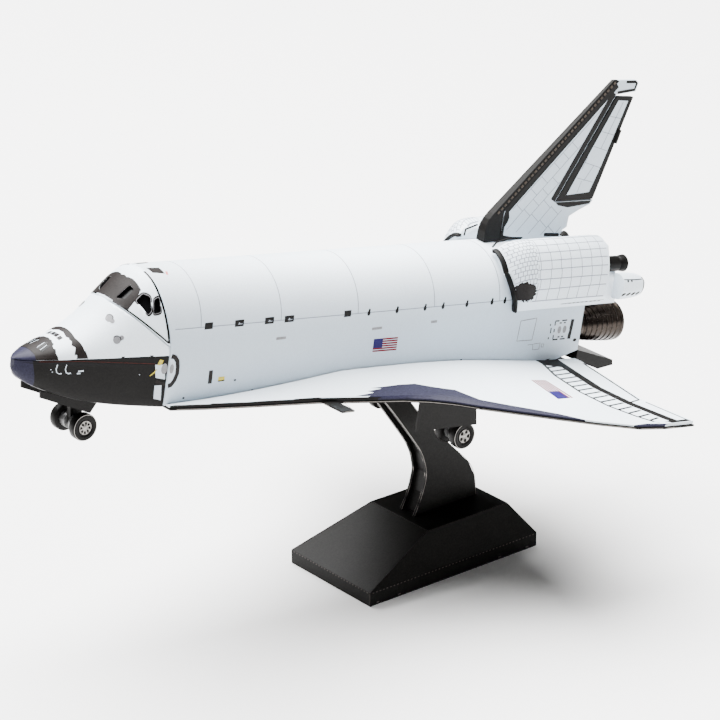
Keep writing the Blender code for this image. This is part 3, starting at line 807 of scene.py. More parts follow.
def wire(piece, look, points, radius, body="orbiter", sides=4, place=shuttleFrame, flat=1.0, up=None):
    # A thin closed strip along a path in space
    store = ink.setdefault(piece, {"points": [], "faces": [], "look": look, "body": body})
    spots = [place @ Vector(p) / mm for p in points]
    start = len(store["points"])
    for k, p in enumerate(spots):
        along = (spots[min(k + 1, len(spots) - 1)] - spots[max(k - 1, 0)]).normalized()
        guide = Vector(up) if up else (Vector((0, 0, 1)) if abs(along.z) < 0.9 else Vector((1, 0, 0)))
        across = along.cross(guide).normalized()
        rise = across.cross(along)
        for j in range(sides):
            turn = 2 * math.pi * (j + 0.5) / sides
            store["points"].append(p + across * radius * math.cos(turn) + rise * radius * flat * math.sin(turn))
    for k in range(len(spots) - 1):
        a, b = start + k * sides, start + (k + 1) * sides
        for j in range(sides):
            n = (j + 1) % sides
            store["faces"].append((a + j, b + j, b + n, a + n))
    store["faces"].append(tuple(start + j for j in range(sides)))
    last = start + (len(spots) - 1) * sides
    store["faces"].append(tuple(last + j for j in reversed(range(sides))))


# Finishes on the kept CAD pieces

keptLooks = {
    # The fin is white print with painted shade
    "sideWhitePaintedShade": ("fin",),
    "whitePrint": ("mid_fuselage", "upper_nose", "cockpit", "port_wing", "starboard_wing", "port_orbital_pod",
                   "starboard_orbital_pod", "port_control_pod", "starboard_control_pod"),
    "blackPrint": ("lower_nose", "underside_panel", "fin_leading_strip", "rudder", "body_flap", "rear_bulkhead", "nose_strut",
                   "port_main_strut", "starboard_main_strut", "port_nose_gear_door", "starboard_nose_gear_door",
                   "port_main_gear_door", "starboard_main_gear_door", "port_pod_nozzle", "starboard_pod_nozzle"),
    "standBlack": ("stand_base", "stand_arm_core", "stand_arm_port_plate", "stand_arm_starboard_plate"),
    "engineSteel": ("upper_main_engine", "port_main_engine", "starboard_main_engine"),
    "charcoalPrint": ("nose_wheels", "port_main_wheels", "starboard_main_wheels"),
}
for look, names in keptLooks.items():
    for name in names:
        for slot in nodes[name].material_slots:
            slot.material = looks[look]


# Prints on the nose
def unrolled(a, b):
    # The body's side and arch laid flat: a runs aft, b up the port side, over the top and down again
    radius, centre = bodyShape["archRadius"], bodyShape["archCentre"]
    turn = min(max(b / radius, 0.0), math.pi)
    rest = b - turn * radius
    out = Vector((0, -math.cos(turn), math.sin(turn)))
    down = rest if rest < 0 else -rest
    return Vector((a, 0, centre + down)), out


def upSide(z):
    # The unrolled height of a point z up the port side
    radius, centre = bodyShape["archRadius"], bodyShape["archCentre"]
    return z - centre if z <= centre else radius * math.asin(min(1.0, (z - centre) / radius))


bodyShape = {
    "archRadius": 7.128, "archCentre": 9.672, "doorLine": 10.3, "doorFirst": 20.1, "doorLast": 79.0,
    "seams": (24.2, 37.3, 50.4, 63.9, 75.9), "seamWidth": 0.11,
    "squares": ((24.8, 26.1), (29.7, 31.15), (34.6, 36.1), (37.9, 39.45), (48.0, 49.2)), "squareLow": 9.95,
    "squareHigh": 10.85, "hinges": (52.3, 57.25, 62.25, 65.5, 69.85, 74.5, 76.9),
    "greyDashes": (((36.9, 7.8), (38.5, 7.84)), ((53.25, 7.93), (55.0, 7.97)), ((63.7, 8.15), (64.8, 8.17))),
    "flag": ((53.87, 6.47), (58.12, 6.43), (58.15, 4.30), (53.90, 4.36)), "flagStripes": 13,
    "cantonAlong": 0.38, "cantonDeep": 0.62,
}


def printNose():
    upper, lower = noseShell, lowerNose
    for side, sign in sides:
        def at(points):
            return [(x, y * -sign) for x, y in points]
        # The black bands behind the cap, and the dark cells between them, whose holes are painted black as shade
        patch("noseBandFront", "charcoalPrint", upper, "top", at(
            [(2.66, 0.0), (2.66, -2.1), (3.9, -2.65), (5.3, -3.12), (5.13, -2.81), (5.3, -2.4), (5.12, -2.2),
             (5.2, -1.8), (5.5, -1.6), (5.45, -1.35), (5.64, -0.9), (5.6, -0.47), (5.7, 0.0)]), 0.035, 0.25)
        patch("noseBandRear", "charcoalPrint", upper, "top", at(
            [(7.5, 0.0), (8.2, 0.0), (8.17, -1.2), (8.1, -2.35), (8.45, -3.3), (8.7, -4.1), (7.9, -3.86), (7.35, -3.7),
             (7.65, -3.3), (7.3, -2.9), (7.55, -2.5), (7.4, -2.1), (7.5, -1.9), (7.3, -1.5), (7.4, -1.0),
             (7.55, -0.5)]), 0.035, 0.25)
        patch("noseBandRear", "charcoalPrint", upper, side, [(7.62, 6.38), (9.1, 6.44), (8.75, 7.35), (8.2, 7.5), (7.7, 7.2)],
              0.03, 0.3)
        patch("noseBandFront", "charcoalPrint", upper, side, [(2.66, 6.06), (5.35, 6.2), (5.2, 6.75), (4.2, 6.7), (2.66, 6.5)],
              0.03, 0.3)
        for cell in ((0.35, 6.35, 6.95), (1.15, 6.3, 6.9)):
            y, first, last = cell
            patch("noseCells", "charcoalPrint", upper, "top", at(
                [(first, -y + 0.3), (last, -y + 0.3), (last, -y - 0.3), (first, -y - 0.3)]), 0.035, 0.25)
            patch("noseCellHoles", "glassBlack", upper, "top", at(
                [(first + 0.15, -y + 0.16), (last - 0.12, -y + 0.16), (last - 0.12, -y - 0.16),
                 (first + 0.15, -y - 0.16)]), 0.05, 0.25)
        # Slots painted black as the shade inside them, each with a pale line along one edge
        for first, last, y in ((3.55, 4.95, -0.85), (3.6, 4.9, -1.5)):
            stroke("noseSlots", "glassBlack", upper, "top", at([(first, y - 0.25), (last, y)]), 0.34, 0.055, 0.25)
            stroke("noseSlotEdges", "palePrint", upper, "top", at([(first, y + 0.02), (last - 0.2, y + 0.24)]), 0.07,
                   0.055, 0.25)
        # Keyholes: a round hole with a lobe, pale inside, with painted shade along its upper edge
        for x, y, z, lobe in ((12.48, -3.08, 11.18, (0.52, -0.30)), (12.74, -4.93, 8.82, (0.62, 0.30))):
            plane, flat = facing(upper, mirrored([(x, y, z)], sign) if sign > 0 else [(x, y, z)])
            lobe = (lobe[0] * -sign, lobe[1])
            patch("keyholes", "greyPrint", upper, plane, disc(0, 0, 0.50), 0.03, 0.25)
            patch("keyholes", "greyPrint", upper, plane, disc(*lobe, 0.30), 0.032, 0.25)
            arc = [(-sign * -0.52 * math.cos(t), 0.52 * math.sin(t)) for t in evenly(0.6, 3.3, 10)]
            stroke("keyholeUpperShade", "charcoalPrint", upper, plane, arc, 0.11, 0.045, 0.25)
        # The white and black parting, the slit and the marks on the lower nose; the parting line and the slit are
        # painted black as the shade in the gap between the halves
        stroke("noseParting", "glassBlack", upper, side, [(x, smoothAt(noseShape["upper"], x, 2) + 0.07)
                                                          for x in evenly(2.9, 19.7, 20)], 0.14, 0.018, 0.8)
        patch("noseSlit", "glassBlack", lower, side,
              [(1.2, 5.62), (6.0, 5.92), (12.0, 5.75), (18.6, 5.62), (12.0, 5.56), (6.0, 5.52)], 0.014, 0.6)
        stroke("noseSlitEdge", "rustEdge", lower, side, [(3.0, 5.88), (8.0, 6.08), (13.0, 5.93), (18.0, 5.72)], 0.07,
               0.022, 0.6)
        for path in ([(5.3, 5.6), (5.2, 5.0), (5.32, 4.55), (5.6, 4.38), (5.95, 4.42)],
                     [(6.45, 5.6), (6.35, 5.0), (6.5, 4.55), (6.8, 4.4), (7.1, 4.5)]):
            stroke("noseMarks", "palePrint", lower, side, path, 0.11, 0.024, 0.3)
        for path in ([(6.75, 4.42), (7.1, 4.5)], [(8.0, 4.72), (8.7, 4.82)], [(7.9, 4.45), (8.3, 4.48)]):
            stroke("noseBrightMarks", "palePrint", lower, side, path, 0.17, 0.026, 0.3)
        patch("noseSlit", "glassBlack", lower, side, disc(7.1, 5.75, 0.26, 0.36), 0.02, 0.4)
        for x, z in ((4.75, 4.6), (4.55, 4.9), (16.1, 4.3)):
            patch("noseMarks", "palePrint", lower, side, disc(x, z, 0.06), 0.02, 0.4)
        # The joint behind the lower nose, painted black as the shade in the gap
        stroke("lowerNoseSeam", "glassBlack", lower, side, [(19.62, 0.3), (19.62, 5.6)], 0.12, 0.014, 1.0)


def printCockpit():
    upper, canopy = noseShell, canopyShell
    frames = {
        "windscreen": ((13.75, -0.02, 13.15), (15.2, -0.02, 14.55), (16.5, -0.68, 15.63), (16.66, -1.6, 15.6),
                       (16.70, -2.6, 15.25), (16.74, -3.45, 14.7), (15.9, -3.80, 13.60), (14.75, -3.95, 12.35),
                       (14.2, -3.4, 12.6), (13.85, -2.6, 12.85), (13.75, -1.4, 13.05)),
    }
    for side, sign in sides:
        points = [onWindscreen(p, sign) for p in mirrored(frames["windscreen"], -1 if sign < 0 else 1)]
        pane = [onWindscreen(p, sign) for p in mirrored(windows["front"], -1 if sign < 0 else 1)]
        patch("windscreenPanel", "charcoalPrint", canopy, windscreenAim(sign), points, 0.04, 0.28,
              holes=(rounded(grown(pane, 0.01), 0.25),))
        for name, outline in windows.items():
            points = mirrored(outline, sign) if sign > 0 else list(outline)
            plane, flat = facing(canopy, points)
            middle = sum((Vector(p) for p in flat), Vector((0, 0))) / len(flat)
            wide = [tuple(middle + (Vector(p) - middle) * 1.0 + (Vector(p) - middle).normalized() * 0.36) for p in flat]
            if name != "front":
                ringPatch("windowFrames", "charcoalPrint", canopy, plane, rounded(wide, 0.5), rounded(flat, 0.25), 0.03)
                ringPatch("windowRims", "greyPrint", canopy, plane, rounded(grown(flat, 0.13), 0.3),
                          rounded(grown(flat, 0.06), 0.28), 0.045)
        # The parting lines of the cockpit, painted black as the shade in the gaps
        (x0, z0), (x1, z1) = noseShape["cockpitSeam"]
        half = bodyShape["archRadius"] * math.pi
        rear = [(19.66 - (z - 8.0) * 0.17, upSide(z)) for z in evenly(8.05, 16.6, 24)]
        rear = [(x, half - b) if sign > 0 else (x, b) for x, b in rear]
        stroke("cockpitPartingRear", "glassBlack", canopy, unrolled, rear, 0.26, 0.05, 0.4)
        stroke("cockpitPartingFront", "glassBlack", canopy, side, [(x0 + 0.2, z0 + 0.05), (x1 - 0.05, z1 + 0.28)], 0.21,
               0.06, 0.4)
        patch("overheadWindows", "charcoalPrint", bodySheet, "top",
              [(19.2, -sign * -2.2), (20.9, -sign * -2.5), (20.9, -sign * -1.1), (19.0, -sign * -0.9)], 0.02, 0.6)
        stroke("redMark", "pinkPrint", bodySheet, "top", [(21.1, sign * 2.75), (21.4, sign * 2.1)], 0.3,
               0.022, 0.4)


    # The middle of the windscreen
    patch("windscreenPanel", "charcoalPrint", canopyShell, "top", [(13.72, 1.1), (16.35, 0.8), (16.5, 0.0), (16.35, -0.8),
                                                                 (13.72, -1.1), (13.7, 0.0)], 0.042, 0.28)


def grown(flat, more):
    middle = sum((Vector(p) for p in flat), Vector((0, 0))) / len(flat)
    return [tuple(Vector(p) + (Vector(p) - middle).normalized() * more) for p in flat]


def windscreenAim(sign):
    # A view straight on to the windscreen's slope
    out = Vector((-0.72, 0.30 * sign, 0.63)).normalized()
    u = Vector((0, 0, 1)).cross(out).normalized()
    return (tuple(u), tuple(out.cross(u)), tuple(out), (15.0, 0.0, 14.0))


def onWindscreen(point, sign):
    u, v, out, middle = [Vector(a) for a in windscreenAim(sign)]
    away = Vector(point) - middle
    return (away.dot(u), away.dot(v))


def ringPatch(piece, look, surface, plane, outer, inner, lift, body="orbiter"):
    # Prints the ground between two outlines of equal length
    count = len(outer)
    points = list(outer) + list(inner)
    faces = [(k, (k + 1) % count, count + (k + 1) % count, count + k) for k in range(count)]
    layDown(piece, look, surface, aims[plane] if isinstance(plane, str) else plane, points, faces, lift,
            shuttleFrame, body)


# Prints on the body
def printBody():
    body = bodySheet
    top = bodyShape["archRadius"] * math.pi
    line = upSide(bodyShape["doorLine"])
    for x in bodyShape["seams"]:
        stroke("doorSeams", "seamPrint", body, unrolled, [(x, line), (x, top - line)], bodyShape["seamWidth"], 0.012,
               0.7)
    for flip in (False, True):
        def over(points):
            return [(x, top - upSide(z)) if flip else (x, upSide(z)) for x, z in points]
        stroke("doorSeams", "seamPrint", body, unrolled,
               over([(bodyShape["doorFirst"], bodyShape["doorLine"]), (bodyShape["doorLast"], bodyShape["doorLine"])]),
               bodyShape["seamWidth"], 0.012, 3)
        for first, last in bodyShape["squares"]:
            low, high = bodyShape["squareLow"], bodyShape["squareHigh"]
            patch("doorLatches", "blackPrint", body, unrolled, over(
                [(first, low), (last, low + 0.03), (last, high), (first, high - 0.03)]), 0.02, 0.8)
        for x in bodyShape["hinges"]:
            z = bodyShape["doorLine"]
            spot = over([(x, z)])[0]
            patch("doorHinges", "blackPrint", body, unrolled, disc(spot[0], spot[1] - 0.1, 0.27, 0.36), 0.02, 0.8)
            patch("doorHinges", "blackPrint", body, unrolled, disc(spot[0] + 0.1, spot[1] + 0.32, 0.16, 0.2), 0.024, 0.8)
        for path in bodyShape["greyDashes"]:
            stroke("bodyDashes", "greyPrint", body, unrolled, over(path), 0.36, 0.014, 2)
        # Small printed marks low on the side
        stroke("bodyMarksBlack", "charcoalPrint", body, unrolled, over([(26.8, 2.5), (26.75, 4.3)]), 0.62, 0.014, 1)
        patch("bodyMarksYellow", "yellowPrint", body, unrolled, over([(28.1, 2.8), (29.15, 2.85), (29.1, 3.3), (28.1, 3.3)]),
              0.014, 1)
        stroke("bodyMarksBlack", "charcoalPrint", body, unrolled, over([(28.1, 2.72), (29.15, 2.76)]), 0.16, 0.016, 1)
        for x, z in ((30.9, 2.64), (34.0, 0.95), (51.5, 2.3), (70.35, 2.17), (22.8, 0.9)):
            spot = over([(x, z)])[0]
            patch("bodyMarksBlack", "charcoalPrint", body, unrolled, disc(*spot, 0.2, 0.13), 0.014, 1)
        printFlag("bodyFlag", body, unrolled, over(bodyShape["flag"]))
        printHatch("starboard" if flip else "port")
        # Rear doors and the service panel
        stroke("rearDoors", "greyPrint", body, unrolled,
               over([(80.6, 7.06), (83.6, 7.28), (83.3, 4.07), (80.4, 4.14)]), 0.13, 0.014, 1, True)
        for path in ([(82.6, 3.4), (83.6, 3.4), (83.7, 2.6), (84.9, 2.6), (85.0, 3.5), (83.75, 3.45)],
                     [(85.3, 2.9), (85.7, 2.85), (85.75, 3.3), (85.35, 3.35), (85.3, 2.9)]):
            stroke("rearDoors", "greyPrint", body, unrolled, over(path), 0.10, 0.014, 1)
        panel = [(87.25, 6.7), (90.9, 6.72), (90.7, 3.66), (87.3, 3.64)]
        patch("servicePanelGround", "palePrint", body, unrolled, over(panel), 0.010, 1.5)
        for first, last in (((87.3, 6.55), (88.1, 6.55)), ((88.6, 6.55), (89.6, 6.55)), ((87.3, 3.8), (88.3, 3.8)),
                            ((88.7, 3.8), (89.7, 3.8)), ((87.35, 6.5), (87.35, 5.9)), ((87.35, 5.4), (87.35, 4.9)),
                            ((87.35, 4.5), (87.35, 3.9)), ((88.2, 6.2), (88.6, 6.2)), ((89.0, 6.2), (89.4, 6.2)),
                            ((88.2, 4.15), (88.6, 4.15)), ((88.9, 4.15), (89.3, 4.15)), ((86.45, 3.95), (86.45, 4.25)),
                            ((86.45, 5.9), (86.45, 6.2)), ((86.7, 4.8), (86.7, 5.6))):
            stroke("servicePanelMarks", "charcoalPrint", body, unrolled, over([first, last]), 0.20, 0.016, 1)
        stroke("servicePanelBar", "blackPrint", body, unrolled, over([(90.7, 6.6), (90.45, 3.7)]), 0.62, 0.018, 1)
        stroke("servicePanelSlots", "palePrint", body, unrolled, over([(90.3, 6.1), (90.25, 5.7)]), 0.12, 0.022, 1)
        stroke("servicePanelSlots", "palePrint", body, unrolled, over([(90.25, 5.2), (90.2, 4.6)]), 0.12, 0.022, 1)
        for x in (88.35, 89.35):
            spot = over([(x, 5.2)])[0]
            patch("servicePorts", "greyPrint", body, unrolled, disc(*spot, 0.36, 0.55), 0.016, 0.6)
        spot = over([(91.7, 3.45)])[0]
        patch("bodyMarksBlack", "charcoalPrint", body, unrolled, disc(*spot, 0.34, 0.24), 0.014, 0.6)
        # Dark lower rear corner of the side sheet
        patch("bodyFoot", "charcoalPrint", body, unrolled, over(
            [(85.6, 0.75), (88.4, 1.15), (92.45, 2.05), (92.45, 0.3), (88.5, 0.25)]), 0.014, 1.2)


def printFlag(name, surface, aim, corners, stripes=13, place=shuttleFrame):
    # corners: canton's own corner, along the stripes, across, back
    a, b, c, d = [Vector(p) for p in corners]

    def at(u, v):
        return tuple((a * (1 - u) + b * u) * (1 - v) + (d * (1 - u) + c * u) * v)

    for k in range(0, stripes - 1, 2):
        patch(name + "Red", "redPrint", surface, aim, [at(0, k / stripes), at(1, k / stripes), at(1, (k + 1.3) / stripes),
                                                      at(0, (k + 1.3) / stripes)], 0.012, 2)
    along, deep = bodyShape["cantonAlong"], bodyShape["cantonDeep"]
    patch(name + "Blue", "bluePrint", surface, aim, [at(0, 0), at(along, 0), at(along, deep), at(0, deep)], 0.022, 2)


def printHatch(side):
    lower, upper, body = lowerNose, noseShell, bodySheet
    patch("hatchGroundFront", "palePrint", lower, side, [(18.05, 5.6), (19.3, 5.6), (19.6, 3.9), (19.6, 3.62),
                                                         (18.33, 3.85)], 0.016, 0.8)
    patch("hatchYellow", "yellowPrint", lower, side, [(18.35, 5.6), (18.6, 6.3), (19.1, 6.2), (19.0, 5.75), (18.7, 5.5)],
          0.02, 0.8)
    stroke("hatchYellow", "yellowPrint", lower, side, [(17.5, 4.1), (18.0, 4.5), (18.35, 5.0)], 0.12, 0.024, 0.6)
    patch("hatchStep", "palePrint", lower, side, [(18.33, 2.78), (19.27, 2.83), (19.41, 0.8), (18.43, 1.02)], 0.016, 0.8)
    path = [(20.05, 6.75), (20.6, 6.6), (21.1, 6.0), (21.25, 5.2), (21.28, 4.3), (20.95, 3.4), (20.5, 2.85), (20.05, 2.75)]
    stroke("hatchRing", "charcoalPrint", body, side, path, 0.6, 0.02, 0.5)
    stroke("hatchRingFoot", "charcoalPrint", lower, side, [(18.4, 3.35), (19.1, 3.05), (19.75, 2.95)], 0.40, 0.02, 0.5)
    patch("hatchGroundRear", "palePrint", body, side, [(20.0, 6.4), (20.5, 6.2), (20.95, 5.4), (20.95, 4.3), (20.5, 3.3),
                                                       (20.0, 3.1)], 0.012, 0.8)
    patch("hatchWindow", "greyPrint", lower, side, disc(19.35, 5.05, 0.42, 0.72), 0.03, 0.5)
    patch("hatchWindowRear", "greyPrint", body, side, disc(20.3, 5.05, 0.32, 0.62), 0.05, 0.25)


printNose()
printCockpit()
printBody()
print("nose, cockpit and body printed")


# Prints on the wings
wingPrint = {
    "bandInner": ((51.7, 11.3), (55.7, 11.5), (58.0, 11.9), (62.5, 15.1), (64.0, 18.6), (67.8, 22.4), (71.7, 26.1),
                  (75.4, 30.1), (79.4, 32.5), (83.0, 33.4)),
    "ladderFront": ((84.7, 8.5), (82.35, 13.7), (80.9, 20.4), (81.0, 26.0), (82.1, 30.4), (83.4, 33.5)),
    "hingeFront": ((87.1, 9.0), (85.9, 13.5), (84.4, 19.2), (84.3, 25.5), (85.0, 32.0), (85.3, 33.5)),
    "hingeBand": ((88.0, 7.6), (86.6, 13.5), (85.3, 19.2), (85.2, 25.5), (86.1, 32.0), (86.4, 33.6)),
    "hingeWidth": 1.45, "rungs": 15, "rungWidth": 0.40, "edge": 0.06,
    "flag": ((75.18, -22.06), (76.55, -14.97), (79.31, -15.34), (78.38, -22.1)),
    "tabs": ((22.4, 8.4), (48.2, 13.4), (67.4, 23.5), (84.7, 33.9)),
}


def leadingAt(y):
    return linearAt(wingShape["leading"], y, 1, 0)


def fences(path):
    # Upright planes along a path seen from above
    return [((x0, y0, 0), (y1 - y0, x0 - x1, 0)) for (x0, y0), (x1, y1) in zip(path, path[1:])]


def printWing(wing, sign):
    def at(points):
        return [(x, y * sign) for x, y in points]

    inner = wingPrint["bandInner"]
    field = at(list(inner) + [(84.6, 33.75)] + [(leadingAt(y) - 1, y + 0.7) for y in evenly(33.7, 12.6, 40)] + [(50.4, 12.0)])
    paint(wing, "slatePrint", fences(field[:len(inner)] + field[-1:]), lambda p: inside((p.x, p.y), field))
    field = at([(leadingAt(y) + 0.45, y - 0.06) for y in evenly(8.0, 12.9, 24)] + [(50.0, 14.0), (30.0, 12.0), (19.0, 8.0)])
    paint(wing, "blackPrint", fences(field[:25:4]), lambda p: inside((p.x, p.y), field) and p.z < 0.45 + 0.02 * p.x)
    front, band = wingPrint["ladderFront"], wingPrint["hingeBand"]
    stroke("wingLadderLine", "blackPrint", wing, "top", at(front), 0.42, 0.02, 1.0)
    stroke("wingHingeBand", "blackPrint", wing, "top", at(band), wingPrint["hingeWidth"], 0.014, 1.2)
    patch("wingRootBand", "blackPrint", wing, "top", at([(84.5, 7.25), (88.9, 7.25), (88.2, 8.9), (86.6, 10.5), (84.4, 9.3)]), 0.016, 1)
    for k in range(wingPrint["rungs"]):
        y = 9.6 + (33.0 - 9.6) * (k + 0.5) / wingPrint["rungs"]
        x0 = linearAt(front, y, 1, 0)
        x1 = linearAt(wingPrint["hingeFront"], y - 0.5, 1, 0)
        stroke("wingRungs", "blackPrint", wing, "top", at([(x0, y), (x1, y - 0.55)]), wingPrint["rungWidth"], 0.016, 1.2)
    # Elevons: the inner one outlined, the outer one with a line along its rear edge
    stroke("wingElevonLines", "blackPrint", wing, "top", at([(91.7, 9.6), (90.85, 13.0), (87.9, 24.9), (85.9, 25.4)]), 0.34,
           0.014, 1.2)
    stroke("wingElevonLines", "blackPrint", wing, "top", at([(88.2, 25.9), (88.75, 33.6)]), 0.26, 0.014, 1.2)
    patch("wingTipBlack", "blackPrint", wing, "top", at([(84.6, 33.3), (86.0, 33.2), (88.9, 33.3), (89.05, 34.0),
                                                        (84.9, 33.85)]), 0.02, 1)


for side, sign in sides:
    stroke("undersideEdges", "bareEdge", nodes["underside_panel"], side, [(21.0, -0.1), (86.0, -0.1)], 0.07, 0.01, 0.8)
printWing(portWing, -1)
printWing(starboardWing, 1)
printFlag("wingFlag", portWing, "top", wingPrint["flag"])
print("wings printed")


# Prints on the pods
def printPod(side, sign):
    shape = podShape
    pod, aim, width = pods[side], podAim(sign), podShape["lineWidth"]
    low, high, step = shape["tileRows"]
    rows = [low + step * k for k in range(int((high - low) / step) + 1)]
    for k, v in enumerate(rows):
        stroke("podTileLines", "seamPrint", pod, aim, [(80.6, v), (94.3, v + 0.05 * jitter(k))], width, 0.02, 0.9)
        x, last, gap = shape["tileColumns"]
        c = 0
        while x < last:
            shift = 0.12 * jitter(c * 7 + k)
            stroke("podTileLines", "seamPrint", pod, aim, [(x + shift, v), (x + shift, v + step)], width, 0.02, 0.5)
            x += gap
            c += 1
    tall, long = shape["smallTile"]
    for k in range(15):
        v = -3.8 + tall * k
        stroke("podTileLines", "seamPrint", pod, aim, [(77.0 + max(0.0, -v) * 0.3, v), (80.7, v)], width * 0.95, 0.02, 0.5)
        for c in range(7):
            x = 77.2 + long * (c + 0.5 * (k % 2)) * 0.92
            if x > 77.1 + max(0.0, -v) * 0.3:
                stroke("podTileLines", "seamPrint", pod, aim, [(x, v), (x, v + tall)], width * 0.95, 0.02, 0.5)
    x, z, wide, deep = shape["darkPatch"]
    ragged = [(x + wide * (1 + 0.14 * jitter(k)) * math.cos(t), z + deep * (1 + 0.16 * jitter(k + 40)) * math.sin(t))
              for k, t in enumerate(evenly(0, 2 * math.pi, 46)[:-1])]
    patch("podDarkPatch", "charcoalPrint", pod, side, ragged, 0.035, 0.35)
    for k in range(5):
        stroke("podPatchMarks", "palePrint", pod, side, [(78.3 + k * 0.5, 10.55), (78.42 + k * 0.5, 10.3)], 0.14, 0.05, 0.4)
    # The dark strip down the front edge, and the flange over it
    edge = [p for p in podRing(shape["stations"][0][0], sign)][10:]
    lean = [(x - 0.03, y + 0.06 * sign, z) for x, y, z in edge]
    wire("podFrontEdges", "blackPrint", lean + [(78.75, 7.35 * sign, 8.7)], shape["edgeWidth"], sides=6, flat=0.55)
    wire("podFlanges", "blackPrint", [(76.9, 3.0 * sign, 16.8), (77.3, 3.3 * sign, 17.6), (79.6, 3.5 * sign, 18.1)], 0.14)
    # The slanted vent panel under the pod's rear
    skirtAim = ((1, 0, 0), (0, -0.62 * sign, 0.78), (0, 0.78 * sign, -0.62), (0, 8.0 * sign, 9.4))
    stroke("podVents", "charcoalPrint", pod, skirtAim, [(86.9, -0.2), (88.3, 0.35), (95.2, 0.55)], 0.14, 0.03, 0.7)
    stroke("podVents", "charcoalPrint", pod, skirtAim, [(87.0, -0.3), (88.6, -0.5), (94.6, -0.45)], 0.16, 0.03, 0.7)
    for k in range(8):
        x = 88.4 + 0.82 * k
        stroke("podVents", "charcoalPrint", pod, skirtAim, [(x, 0.02), (x + 0.38, 0.04)], 0.26, 0.03, 0.7)
    points, faces = latheX([(94.9, 0.0), (94.9, 1.18), (98.35, 1.12), (98.35, 0.0)], 40, (0, sign * 6.2, 14.1))
    settle(newPiece(side + "NozzleDrum", points, faces, "blackPrint"))
    control = pods[side + "Control"]
    stroke("controlLines", "charcoalPrint", control, side, [(96.5, 12.95), (100.2, 12.75)], 0.12, 0.02, 0.8)
    for x in (97.2, 97.95):
        patch("controlDots", "blackPrint", control, side, disc(x, 12.72, 0.16), 0.03, 0.5)
    for x in (96.75, 97.75, 98.75, 99.7):
        patch("controlOvals", "charcoalPrint", control, side, disc(x, 10.75, 0.42, 0.2, 25), 0.03, 0.4)
    patch("controlEnd", "blackPrint", control, side,
          [(100.35, 12.95), (101.2, 12.7), (101.2, 10.4), (100.5, 10.2), (100.62, 11.0), (100.6, 12.0)], 0.035, 0.35)


for side, sign in sides:
    printPod(side, sign)
print("pods printed")


# Prints on the fin and rudder
finPrint = {
    "stripInner": ((80.35, 21.6), (98.05, 38.5)),
    "foot": ((80.1, 17.2), (79.9, 18.6), (80.25, 19.0), (80.95, 19.3), (81.35, 20.2), (80.9, 21.0), (81.0, 21.9)),
    "rudderDiagonal": ((99.75, 37.35), (90.05, 22.35)),
    "line": 0.085, "perforation": 0.72,
}


def finHalf(z):
    return linearAt(((16.9, 0.85), (20.0, 0.65), (25.0, 0.52), (39.4, 0.25)), z)


